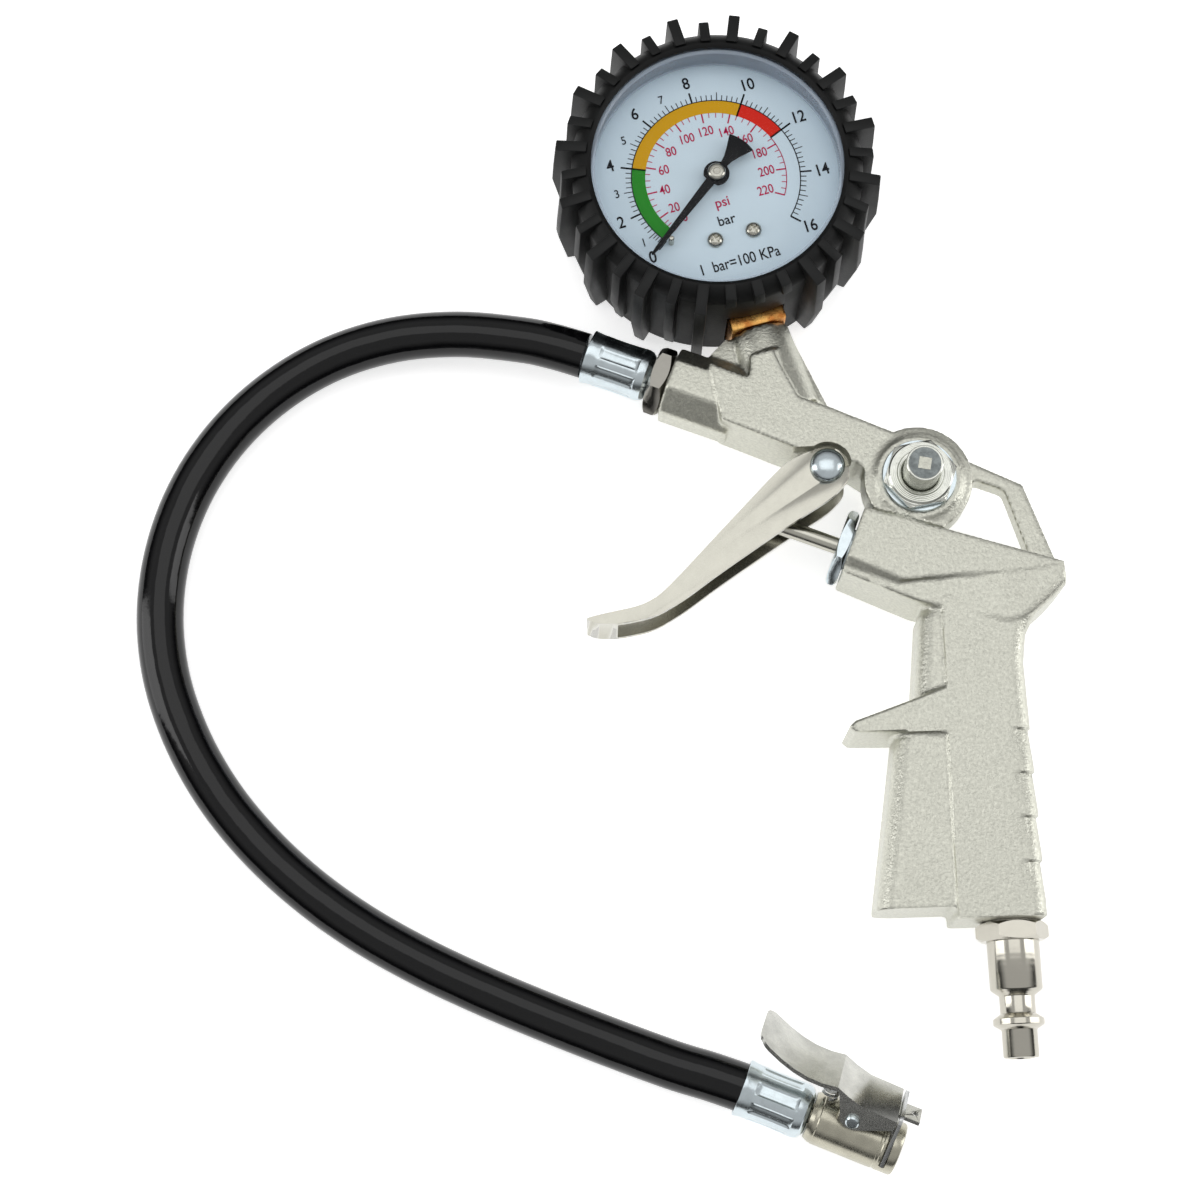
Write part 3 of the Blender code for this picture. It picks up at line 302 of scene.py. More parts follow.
def block(name: str, low: Point3, high: Point3) -> bpy.types.Object:
    """A box between two corners, in millimetres."""
    deselect()
    centre = [(a + b) / 2 for a, b in zip(low, high)]
    size = [b - a for a, b in zip(low, high)]
    bpy.ops.mesh.primitive_cube_add(size=1, location=centre, scale=size)
    obj = bpy.context.object
    obj.name = name
    bpy.ops.object.transform_apply(location=True, rotation=True, scale=True)
    return obj


def rod(name: str, radius: float, low: float, high: float, sides: int = 64,
        at: Point2 = (0.0, 0.0)) -> bpy.types.Object:
    """A plain cylinder along local Z, in millimetres."""
    deselect()
    bpy.ops.mesh.primitive_cylinder_add(vertices=sides, radius=radius, depth=high - low,
                                        location=(at[0], at[1], (low + high) / 2))
    obj = bpy.context.object
    obj.name = name
    bpy.ops.object.transform_apply(location=True, rotation=True, scale=True)
    return obj


def prism(name: str, across_flats: float, low: float, high: float, turn: float = 0.0,
          chamfer: float = 0.0) -> bpy.types.Object:
    """A hexagon prism along local Z whose corners are turned off to a cone.

    Args:
        name: Name of the new object.
        across_flats: Width across flats.
        low: Lower height.
        high: Upper height.
        turn: Angle of a corner from local X, in degrees.
        chamfer: How far down the corners the turned cone reaches, at both ends.

    Returns:
        The nut blank.
    """
    deselect()
    corner = across_flats / math.sqrt(3)
    bpy.ops.mesh.primitive_cylinder_add(vertices=6, radius=corner, depth=high - low,
                                        location=(0, 0, (low + high) / 2),
                                        rotation=(0, 0, math.radians(turn + 30)))
    obj = bpy.context.object
    obj.name = name
    bpy.ops.object.transform_apply(location=True, rotation=True, scale=True)
    if chamfer:
        flat = across_flats / 2
        side = ((0, high), (flat * 0.985, high), (corner + 0.02, high - chamfer),
                (corner + 0.02, low + chamfer), (flat * 0.985, low), (0, low))
        common(obj, turned("corner_cone", side, 72))
    return obj


def boolean(target: bpy.types.Object, tool: bpy.types.Object, operation: str) -> None:
    """Apply a Boolean and remove the tool."""
    modifier = target.modifiers.new("shape", "BOOLEAN")
    modifier.operation = operation
    modifier.object = tool
    modifier.solver = "EXACT"
    apply_all(target)
    bpy.data.objects.remove(tool, do_unlink=True)


def cut(target: bpy.types.Object, *tools: bpy.types.Object) -> bpy.types.Object:
    """Cut tools from a piece."""
    for tool in tools:
        boolean(target, tool, "DIFFERENCE")
    return target


def fuse(target: bpy.types.Object, *tools: bpy.types.Object) -> bpy.types.Object:
    """Join tools to a piece as one body."""
    for tool in tools:
        boolean(target, tool, "UNION")
    return target


def common(target: bpy.types.Object, tool: bpy.types.Object) -> bpy.types.Object:
    """Keep only what a piece shares with a tool."""
    boolean(target, tool, "INTERSECT")
    return target


def turn_piece(obj: bpy.types.Object, matrix: Matrix) -> bpy.types.Object:
    """Move an object's mesh by a matrix, in millimetres."""
    obj.matrix_world = matrix @ obj.matrix_world
    pick(obj)
    bpy.ops.object.transform_apply(location=True, rotation=True, scale=True)
    return obj


def bevel(obj: bpy.types.Object, width: float, segments: int = 3,
          angle: float = 35.0) -> bpy.types.Object:
    """Round every edge sharper than an angle, with the Bevel modifier applied."""
    modifier = obj.modifiers.new("round", "BEVEL")
    modifier.width = width
    modifier.segments = segments
    modifier.limit_method = "ANGLE"
    modifier.angle_limit = math.radians(angle)
    modifier.harden_normals = False
    return apply_all(obj)


def bevel_where(obj: bpy.types.Object, wanted: Callable[[Vector, Vector], bool], width: float,
                segments: int = 6) -> bpy.types.Object:
    """Round the edges that a test picks by their two ends.

    Args:
        obj: The piece.
        wanted: Test on an edge's two ends, in the piece's own millimetres.
        width: Width of the rounding.
        segments: Steps of the rounding.

    Returns:
        The piece.
    """
    edit(obj, "DESELECT")
    bpy.ops.mesh.select_mode(type="EDGE")
    close()
    for edge in obj.data.edges:
        a, b = (obj.data.vertices[i].co for i in edge.vertices)
        edge.select = wanted(a, b)
    bpy.ops.object.mode_set(mode="EDIT")
    bpy.ops.mesh.bevel(offset=width, segments=segments, affect="EDGES", clamp_overlap=True)
    close()
    return obj


def join(name: str, pieces: Iterable[bpy.types.Object]) -> bpy.types.Object:
    """Join loose solids into one object."""
    pieces = list(pieces)
    deselect()
    for piece in pieces:
        piece.select_set(True)
    bpy.context.view_layer.objects.active = pieces[0]
    bpy.ops.object.join()
    pieces[0].name = name
    return pieces[0]


def arc(centre: Point2, radius: float, start: float, end: float, steps: int) -> list[Point2]:
    """Points on an arc between two angles in degrees."""
    turn = [math.radians(start + (end - start) * i / steps) for i in range(steps + 1)]
    return [(centre[0] + radius * math.cos(a), centre[1] + radius * math.sin(a)) for a in turn]


def helix(name: str, radius: float, wire: float, low: float, high: float, turns: float,
          ) -> bpy.types.Object:
    """A compression spring along local Z, with closed round wire.

    Args:
        name: Name of the new object.
        radius: Radius of the coil's middle line.
        wire: Radius of the wire.
        low: Lowest height of the coil.
        high: Highest height of the coil.
        turns: Number of turns.

    Returns:
        The spring as a mesh.
    """
    steps = int(turns * 20)
    points = [(radius * math.cos(math.tau * i / 20), radius * math.sin(math.tau * i / 20),
               low + wire + (high - low - 2 * wire) * i / steps) for i in range(steps + 1)]
    obj = tube(name, points, wire, 3)
    pick(obj)
    bpy.ops.object.convert(target="MESH")
    return smooth(recalculate(bpy.context.object), 60)


def tube(name: str, points: Sequence[Point3], radius: float, roundness: int
         ) -> bpy.types.Object:
    """A curve with a round section through points, its ends capped."""
    curve = bpy.data.curves.new(name, "CURVE")
    curve.dimensions = "3D"
    curve.bevel_depth = radius
    curve.bevel_resolution = roundness
    curve.use_fill_caps = True
    spline = curve.splines.new("POLY")
    spline.points.add(len(points) - 1)
    for point, place in zip(spline.points, points):
        point.co = (*place, 1)
    obj = bpy.data.objects.new(name, curve)
    bpy.context.scene.collection.objects.link(obj)
    return obj


# ------------------------------------------------------------------------ finishes


class Nodes:
    """A small builder for one material's node tree."""

    def __init__(self, name: str) -> None:
        """Start a material that has only a Principled shader."""
        self.material = bpy.data.materials.new(name)
        self.material.use_nodes = True
        self.tree = self.material.node_tree
        self.shader = self.tree.nodes["Principled BSDF"]

    def add(self, kind: str, **inputs: object) -> bpy.types.Node:
        """Add a node and set its inputs by name, with underscores for spaces.

        Args:
            kind: Node type.
            **inputs: Values, or sockets to link, for the node's inputs.

        Returns:
            The node.
        """
        node = self.tree.nodes.new(kind)
        for label, value in inputs.items():
            self.set(node.inputs[label.replace("_", " ")], value)
        return node

    def set(self, socket: bpy.types.NodeSocket, value: object) -> None:
        """Link a socket to an input, or set its value."""
        if isinstance(value, bpy.types.NodeSocket):
            self.tree.links.new(value, socket)
        else:
            socket.default_value = value

    def where(self, place: Place | None = None) -> bpy.types.NodeSocket:
        """Object coordinates, in metres, or in millimetres about a place."""
        coordinates = self.add("ShaderNodeTexCoord").outputs["Object"]
        if place is None:
            return coordinates
        mapping = self.add("ShaderNodeMapping", Vector=coordinates)
        mapping.vector_type = "POINT"
        inverse = place.matrix().inverted()
        mapping.inputs["Location"].default_value = inverse.to_translation()
        mapping.inputs["Rotation"].default_value = inverse.to_euler()
        mapping.inputs["Scale"].default_value = inverse.to_scale()
        return mapping.outputs["Vector"]

    def noise(self, where: bpy.types.NodeSocket, scale: float, detail: float = 3.0,
              roughness: float = 0.6) -> bpy.types.NodeSocket:
        """A noise value between 0 and 1."""
        node = self.add("ShaderNodeTexNoise", Vector=where, Scale=scale, Detail=detail,
                        Roughness=roughness)
        return node.outputs["Fac"]

    def ramp(self, value: bpy.types.NodeSocket, *stops: tuple[float, Colour]
             ) -> bpy.types.NodeSocket:
        """Colours along a value."""
        node = self.add("ShaderNodeValToRGB", Fac=value)
        while len(node.color_ramp.elements) < len(stops):
            node.color_ramp.elements.new(0.5)
        for element, (place, colour) in zip(node.color_ramp.elements, stops):
            element.position = place
            element.color = (*colour, 1.0)
        return node.outputs["Color"]

    def remap(self, value: bpy.types.NodeSocket, low: float, high: float, start: float = 0.3,
              end: float = 0.7) -> bpy.types.NodeSocket:
        """Map a value between start and end onto low to high."""
        node = self.add("ShaderNodeMapRange", Value=value)
        node.inputs["From Min"].default_value = start
        node.inputs["From Max"].default_value = end
        node.inputs["To Min"].default_value = low
        node.inputs["To Max"].default_value = high
        return node.outputs["Result"]

    def math(self, operation: str, *values: object) -> bpy.types.NodeSocket:
        """A sum on values."""
        node = self.tree.nodes.new("ShaderNodeMath")
        node.operation = operation
        for socket, value in zip(node.inputs, values):
            self.set(socket, value)
        return node.outputs["Value"]

    def bump(self, height: bpy.types.NodeSocket, depth: float, strength: float = 1.0) -> None:
        """Add relief of a depth in metres."""
        node = self.add("ShaderNodeBump", Height=height, Strength=strength, Distance=depth)
        before = self.shader.inputs["Normal"].links
        if before:
            self.tree.links.new(before[0].from_socket, node.inputs["Normal"])
        self.tree.links.new(node.outputs["Normal"], self.shader.inputs["Normal"])


@dataclass(frozen=True)
class CastNickel:
    """Satin nickel plate over a shot-blasted die casting."""

    colour: Colour = (0.57, 0.57, 0.50)
    roughness: float = 0.37
    grain_per_metre: float = 1700.0
    grain_depth: float = 0.00013

    def material(self) -> bpy.types.Material:
        """Build the finish."""
        nodes = Nodes("cast_nickel")
        where = nodes.where()
        grain = nodes.noise(where, self.grain_per_metre, 2.0, 0.65)
        speck = nodes.noise(where, self.grain_per_metre * 0.8, 3.0, 0.7)
        dark = tuple(c * 0.84 for c in self.colour)
        bright = tuple(min(1.0, c * 1.14) for c in self.colour)
        nodes.set(nodes.shader.inputs["Base Color"],
                  nodes.ramp(speck, (0.30, dark), (0.70, bright)))
        nodes.shader.inputs["Metallic"].default_value = 1.0
        nodes.set(nodes.shader.inputs["Roughness"],
                  nodes.remap(grain, self.roughness - 0.05, self.roughness + 0.07))
        nodes.bump(grain, self.grain_depth)
        return nodes.material


@dataclass(frozen=True)
class PlatedMetal:
    """Smooth plated metal with faint clouding and wipe marks."""

    name: str
    colour: Colour
    roughness: float = 0.16
    ripple: float = 0.000012
    ripple_per_metre: float = 260.0
    variation: float = 0.05

    def material(self) -> bpy.types.Material:
        """Build the finish."""
        nodes = Nodes(self.name)
        where = nodes.where()
        cloud = nodes.noise(where, self.ripple_per_metre, 3.0, 0.5)
        fine = nodes.noise(where, 3600.0, 2.0, 0.5)
        dark = tuple(c * (1 - self.variation) for c in self.colour)
        nodes.set(nodes.shader.inputs["Base Color"],
                  nodes.ramp(cloud, (0.35, dark), (0.65, self.colour)))
        nodes.shader.inputs["Metallic"].default_value = 1.0
        nodes.set(nodes.shader.inputs["Roughness"],
                  nodes.remap(fine, self.roughness * 0.8, self.roughness * 1.25))
        nodes.bump(cloud, self.ripple)
        return nodes.material


@dataclass(frozen=True)
class LatheMarks:
    """Plated metal with the fine rings that a lathe leaves round an axis."""

    name: str
    colour: Colour
    place: Place
    roughness: float = 0.2
    rings_per_mm: float = 2.6
    depth: float = 0.000018

    def material(self) -> bpy.types.Material:
        """Build the finish."""
        nodes = Nodes(self.name)
        where = nodes.where(self.place)
        split = nodes.add("ShaderNodeSeparateXYZ", Vector=where)
        square = nodes.math("ADD", nodes.math("MULTIPLY", split.outputs["X"], split.outputs["X"]),
                            nodes.math("MULTIPLY", split.outputs["Y"], split.outputs["Y"]))
        radius = nodes.math("SQRT", square)
        run = nodes.math("ADD", radius, nodes.math("MULTIPLY", split.outputs["Z"], 0.83))
        wave = nodes.math("SINE", nodes.math("MULTIPLY", run, self.rings_per_mm * math.tau))
        uneven = nodes.noise(nodes.where(), 420.0, 3.0)
        nodes.shader.inputs["Base Color"].default_value = (*self.colour, 1.0)
        nodes.shader.inputs["Metallic"].default_value = 1.0
        nodes.set(nodes.shader.inputs["Roughness"],
                  nodes.remap(uneven, self.roughness * 0.8, self.roughness * 1.3))
        nodes.bump(nodes.math("MULTIPLY", wave, uneven), self.depth)
        return nodes.material


@dataclass(frozen=True)
class Rubber:
    """Moulded black rubber."""

    name: str
    colour: Colour = (0.012, 0.012, 0.013)
    roughness: float = 0.55
    grain_per_metre: float = 1500.0
    grain_depth: float = 0.00003

    def material(self) -> bpy.types.Material:
        """Build the finish."""
        nodes = Nodes(self.name)
        where = nodes.where()
        grain = nodes.noise(where, self.grain_per_metre, 3.0)
        cloud = nodes.noise(where, 60.0, 4.0)
        pale = tuple(c * 1.6 for c in self.colour)
        nodes.set(nodes.shader.inputs["Base Color"],
                  nodes.ramp(cloud, (0.4, self.colour), (0.75, pale)))
        nodes.set(nodes.shader.inputs["Roughness"],
                  nodes.remap(cloud, self.roughness - 0.06, self.roughness + 0.08))
        nodes.shader.inputs["Specular IOR Level"].default_value = 0.22
        nodes.bump(grain, self.grain_depth)
        return nodes.material


@dataclass(frozen=True)
class HoseRubber:
    """Glossy extruded black rubber with the long waves of an extrusion."""

    colour: Colour = (0.002, 0.002, 0.0024)
    roughness: float = 0.09

    def material(self) -> bpy.types.Material:
        """Build the finish."""
        nodes = Nodes("hose_rubber")
        where = nodes.where()
        wave = nodes.noise(where, 130.0, 2.0, 0.4)
        fine = nodes.noise(where, 1800.0, 2.0, 0.5)
        nodes.set(nodes.shader.inputs["Base Color"],
                  nodes.ramp(fine, (0.4, self.colour), (0.8, tuple(c * 2 for c in self.colour))))
        nodes.set(nodes.shader.inputs["Roughness"],
                  nodes.remap(fine, self.roughness * 0.75, self.roughness * 1.4))
        nodes.shader.inputs["Specular IOR Level"].default_value = 0.33
        nodes.bump(wave, 0.00012)
        nodes.bump(fine, 0.000004)
        return nodes.material


@dataclass(frozen=True)
class Brass:
    """Sawn and milled brass, lacquered to a deep gold."""

    colour: Colour = (0.83, 0.47, 0.14)

    def material(self) -> bpy.types.Material:
        """Build the finish."""
        nodes = Nodes("milled_brass")
        where = nodes.where()
        cloud = nodes.noise(where, 260.0, 4.0, 0.6)
        marks = nodes.noise(where, 1500.0, 3.0, 0.6)
        deep = (self.colour[0] * 0.62, self.colour[1] * 0.42, self.colour[2] * 0.35)
        nodes.set(nodes.shader.inputs["Base Color"],
                  nodes.ramp(cloud, (0.38, deep), (0.6, self.colour)))
        nodes.shader.inputs["Metallic"].default_value = 1.0
        nodes.set(nodes.shader.inputs["Roughness"], nodes.remap(marks, 0.22, 0.42))
        nodes.bump(marks, 0.00005)
        return nodes.material


@dataclass(frozen=True)
class Enamel:
    """Flat paint or printing ink with a faint orange-peel surface."""

    name: str
    colour: Colour
    roughness: float = 0.42

    def material(self) -> bpy.types.Material:
        """Build the finish."""
        nodes = Nodes(self.name)
        where = nodes.where()
        peel = nodes.noise(where, 900.0, 2.0)
        cloud = nodes.noise(where, 45.0, 2.0)
        dark = tuple(c * 0.965 for c in self.colour)
        nodes.set(nodes.shader.inputs["Base Color"],
                  nodes.ramp(cloud, (0.35, dark), (0.65, self.colour)))
        nodes.set(nodes.shader.inputs["Roughness"],
                  nodes.remap(peel, self.roughness - 0.05, self.roughness + 0.05))
        nodes.shader.inputs["Specular IOR Level"].default_value = 0.12
        nodes.bump(peel, 0.000002)
        return nodes.material


@dataclass(frozen=True)
class ClearPlastic:
    """The clear moulded lens of a gauge, seen mostly at its rim."""

    name: str
    opacity: float
    colour: Colour = (0.05, 0.06, 0.07)

    def material(self) -> bpy.types.Material:
        """Build the finish."""
        nodes = Nodes(self.name)
        haze = nodes.noise(nodes.where(), 70.0, 3.0)
        nodes.shader.inputs["Base Color"].default_value = (*self.colour, 1.0)
        nodes.shader.inputs["Alpha"].default_value = self.opacity
        nodes.shader.inputs["IOR"].default_value = 1.49
        nodes.set(nodes.shader.inputs["Roughness"], nodes.remap(haze, 0.03, 0.09))
        return nodes.material


# ------------------------------------------------------------------------ dressing


def dress(obj: bpy.types.Object, material: bpy.types.Material) -> bpy.types.Object:
    """Give an object one material."""
    obj.data.materials.clear()
    obj.data.materials.append(material)
    return obj


def fit(obj: bpy.types.Object, body: Body, material: bpy.types.Material,
        nodes: Sequence[str] = ()) -> bpy.types.Object:
    """Dress a finished piece and let it ride on its body.

    Args:
        obj: The finished piece.
        body: The body it moves with.
        material: Its finish.
        nodes: CAD nodes that it stands for.

    Returns:
        The piece.
    """
    dress(obj, material)
    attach(obj, body.value)
    if nodes:
        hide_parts(*nodes)
    LOG.info("%s: %d faces on %s", obj.name, len(getattr(obj.data, "polygons", ())), body.value)
    return obj


# ------------------------------------------------------------------------ kept parts


@dataclass
class Palette:
    """Every finish of the inflator, made once and shared."""

    layout: Layout
    finishes: dict[str, bpy.types.Material] = field(default_factory=dict)

    def __post_init__(self) -> None:
        """Build every finish."""
        bright = (0.60, 0.67, 0.70)
        warm = (0.61, 0.585, 0.50)
        lay = self.layout
        self.finishes = {
            "cast": CastNickel().material(),
            "trigger": PlatedMetal("trigger_nickel", (0.50, 0.49, 0.43), 0.20).material(),
            "zinc": PlatedMetal("bright_zinc", bright, 0.21, 0.00003, 420.0, 0.1).material(),
            "dark": PlatedMetal("dark_nickel", (0.27, 0.26, 0.235), 0.16, 0.00006).material(),
            "button": PlatedMetal("button_face", (0.20, 0.22, 0.22), 0.28, 0.00004, 700.0,
                                  0.35).material(),
            "steel": PlatedMetal("spring_steel", (0.55, 0.56, 0.56), 0.25).material(),
            "sheet": PlatedMetal("sheet_steel", (0.62, 0.62, 0.585), 0.24, 0.00006, 190.0,
                                 0.22).material(),
            "case": PlatedMetal("case_steel", (0.10, 0.10, 0.11), 0.4).material(),
            "chuck": PlatedMetal("chuck_nickel", (0.48, 0.46, 0.375), 0.26, 0.00003, 350.0,
                                 0.15).material(),
            "plug": LatheMarks("plug_nickel", (0.50, 0.48, 0.42), lay.plug, 0.16, 0.9,
                               0.000004).material(),
            "nut": LatheMarks("nut_nickel", (0.60, 0.61, 0.56), lay.bleed, 0.19).material(),
            "brass": Brass().material(),
            "boot": Rubber("boot_rubber", (0.0035, 0.0038, 0.0038), 0.5).material(),
            # The treads are moulded in the boot's own rubber; this lighter copy is painted light on
            # their outward faces.
            "tread": Rubber("tread_rubber_painted_lighter", (0.0085, 0.009, 0.009), 0.46).material(),
            "seal": Rubber("seal_rubber", (0.02, 0.02, 0.02), 0.7).material(),
            "hose": HoseRubber().material(),
            "dial": Enamel("dial_white", (0.74, 0.89, 0.99), 0.4).material(),
            "black": Enamel("ink_black", (0.012, 0.014, 0.02)).material(),
            "crimson": Enamel("ink_crimson", (0.55, 0.012, 0.09)).material(),
            "green": Enamel("band_green", (0.025, 0.30, 0.022)).material(),
            "amber": Enamel("band_amber", (0.76, 0.40, 0.006)).material(),
            "red": Enamel("band_red", (0.82, 0.022, 0.008)).material(),
            "pointer": Enamel("pointer_black", (0.008, 0.008, 0.009), 0.32).material(),
            "lens": ClearPlastic("clear_lens", 0.035).material(),
            # The skirt is the same clear plastic as the lens front. Its pale blue-white colour is
            # painted light, standing in for the dial seen through it and the reflections on it.
            "rim": ClearPlastic("lens_rim_painted_light", 0.34, (0.72, 0.82, 0.95)).material(),
        }

    def __getitem__(self, name: str) -> bpy.types.Material:
        """One finish by name."""
        return self.finishes[name]


@dataclass(frozen=True)
class Inside:
    """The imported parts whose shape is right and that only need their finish."""

    kept: dict[str, str] = field(default_factory=lambda: {
        "rod_seal": "seal", "bleed_seal": "seal", "chuck_gasket": "seal",
        "valve_seat": "brass", "valve_poppet": "brass", "chuck_depressor": "brass",
        "bourdon_tube": "brass", "sector_gear": "brass", "tip_link": "brass",
        "pinion_arbor": "steel", "hairspring": "steel", "valve_spring": "steel",
        "bleed_spring": "steel", "chuck_spring": "steel", "gauge_case": "case",
        "movement_plate_back": "brass", "movement_plate_front": "brass",
        "movement_pillar_1": "brass", "movement_pillar_2": "brass",
    })

    def dress(self, nodes: dict[str, bpy.types.Object], palette: Palette) -> None:
        """Give each kept part its finish.

        Args:
            nodes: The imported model's parts by name.
            palette: The finishes.
        """
        for name, finish in self.kept.items():
            for slot in nodes[name].material_slots:
                slot.material = palette[finish]
        LOG.info("dressed %d kept parts", len(self.kept))


# ------------------------------------------------------------------------ stage


@dataclass(frozen=True)
class Studio:
    """Camera, floor and soft light."""

    eye: Point3 = (-0.05408, -0.15521, 0.5522)
    target: Point3 = (-0.04946, -0.01557, 0.012)
    up: Point3 = (0.0320, 0.9676, 0.2504)
    lens: float = 72.0
    floor_size: float = 6.0
    sky: float = 0.62
    horizon: float = 0.035

    def camera(self) -> None:
        """Set up the camera and make it the scene's."""
        data = bpy.data.cameras.new("camera")
        data.lens = self.lens
        data.sensor_width = 36.0
        data.clip_start = 0.01
        obj = bpy.data.objects.new("camera", data)
        bpy.context.scene.collection.objects.link(obj)
        back = (Vector(self.eye) - Vector(self.target)).normalized()
        right = Vector(self.up).cross(back).normalized()
        turn = Matrix((right, back.cross(right), back)).transposed().to_4x4()
        obj.matrix_world = Matrix.Translation(self.eye) @ turn
        bpy.context.scene.camera = obj

    def floor(self) -> None:
        """Lay the pale floor."""
        deselect()
        bpy.ops.mesh.primitive_plane_add(size=self.floor_size, location=(0, 0, -0.0002))
        obj = bpy.context.object
        obj.name = "floor"
        nodes = Nodes("floor_white")
        nodes.shader.inputs["Base Color"].default_value = (0.93, 0.93, 0.93, 1)
        nodes.shader.inputs["Roughness"].default_value = 0.9
        nodes.shader.inputs["Specular IOR Level"].default_value = 0.1
        nodes.shader.inputs["Emission Color"].default_value = (1, 1, 1, 1)
        nodes.shader.inputs["Emission Strength"].default_value = 0.62
        dress(obj, nodes.material)

    def softbox(self, name: str, place: Point3, aim: Point3, size: Point2, power: float) -> None:
        """Hang one rectangular softbox.

        Args:
            name: Name of the light.
            place: Where it hangs, in metres.
            aim: What it points at.
            size: Width and height.
            power: Power in watts.
        """
        data = bpy.data.lights.new(name, "AREA")
        data.shape = "RECTANGLE"
        data.size, data.size_y = size
        data.energy = power
        obj = bpy.data.objects.new(name, data)
        bpy.context.scene.collection.objects.link(obj)
        track = (Vector(aim) - Vector(place)).to_track_quat("-Z", "Y")
        obj.matrix_world = Matrix.Translation(place) @ track.to_matrix().to_4x4()

    def lights(self) -> None:
        """Hang the softboxes and set the sky, which darkens towards the horizon."""
        centre = (-0.04, 0.0, 0.0)
        self.softbox("overhead", (-0.04, 0.22, 1.15), centre, (1.1, 0.75), 2.3)
        self.softbox("left", (-0.95, 0.05, 0.32), centre, (0.36, 1.0), 2.9)
        self.softbox("right", (0.9, 0.05, 0.32), centre, (0.36, 1.0), 2.9)
        world = bpy.data.worlds.new("studio")
        bpy.context.scene.world = world
        world.use_nodes = True
        tree = world.node_tree
        where = tree.nodes.new("ShaderNodeTexCoord")
        split = tree.nodes.new("ShaderNodeSeparateXYZ")
        ramp = tree.nodes.new("ShaderNodeValToRGB")
        tree.links.new(where.outputs["Generated"], split.inputs["Vector"])
        tree.links.new(split.outputs["Z"], ramp.inputs["Fac"])
        low, high = ramp.color_ramp.elements
        low.position, high.position = 0.24, 0.62
        low.color = (self.horizon, self.horizon * 1.01, self.horizon * 0.98, 1)
        high.color = (self.sky, self.sky, self.sky, 1)
        background = tree.nodes["Background"]
        tree.links.new(ramp.outputs["Color"], background.inputs["Color"])
        background.inputs["Strength"].default_value = 1.0
        bpy.context.scene.view_settings.view_transform = "Standard"
        bpy.context.scene.view_settings.look = "None"

    def build(self) -> None:
        """Set up the whole studio."""
        self.camera()
        self.floor()
        self.lights()


# ------------------------------------------------------------------------ hose


@dataclass(frozen=True)
class Hose:
    """The short rubber hose between the gun and the chuck, in the gun's millimetres."""

    radius: float = 5.5
    route: tuple[Point3, ...] = (
        (-91.4, 168.2, 0.0), (-98.9, 170.9, -0.2), (-106.8, 173.1, -0.8), (-121.7, 175.6, -2.4),
        (-137.3, 175.4, -4.2), (-152.3, 171.6, -5.6), (-165.8, 164.1, -6.3),
        (-177.1, 153.6, -6.5), (-185.7, 140.7, -6.5), (-191.1, 126.3, -6.5),
        (-193.2, 110.9, -6.5), (-191.8, 95.5, -6.5), (-187.1, 80.8, -6.5), (-179.8, 67.1, -6.5),
        (-170.4, 54.9, -6.5), (-159.2, 44.0, -6.5), (-146.9, 34.7, -6.5), (-133.6, 26.7, -6.5),
        (-119.8, 19.7, -6.5), (-105.7, 13.3, -6.5), (-91.4, 7.2, -6.4), (-77.2, 1.5, -6.0),
        (-69.0, -1.3, -5.6), (-61.7, -4.05, -5.4),
    )
    length: float = 0.326
    steps: int = 6

    def middle_line(self, place: Place) -> list[Vector]:
        """The smooth middle line in the row frame, in metres."""
        knots = [Vector(point) for point in self.route]
        line = []
        for i in range(len(knots) - 1):
            before, start, end = knots[max(i - 1, 0)], knots[i], knots[i + 1]
            after = knots[min(i + 2, len(knots) - 1)]
            for step in range(self.steps):
                t = step / self.steps
                line.append((2 * t**3 - 3 * t**2 + 1) * start + (3 * t**2 - 2 * t**3) * end
                            + (t**3 - 2 * t**2 + t) * (end - before) / 2
                            + (t**3 - t**2) * (after - start) / 2)
        line.append(knots[-1])
        return [place.origin + point * MM for point in line]

    def build(self, layout: Layout, palette: Palette) -> bpy.types.Object:
        """Make the hose as one open curve.

        Args:
            layout: Places of the sub-assemblies.
            palette: The finishes.

        Returns:
            The hose.
        """
        line = self.middle_line(layout.gun)
        obj = tube("rubber_hose", [tuple(point) for point in line], self.radius * MM, 14)
        fit(obj, Body.GUN, palette["hose"], ["hose"])
        return obj


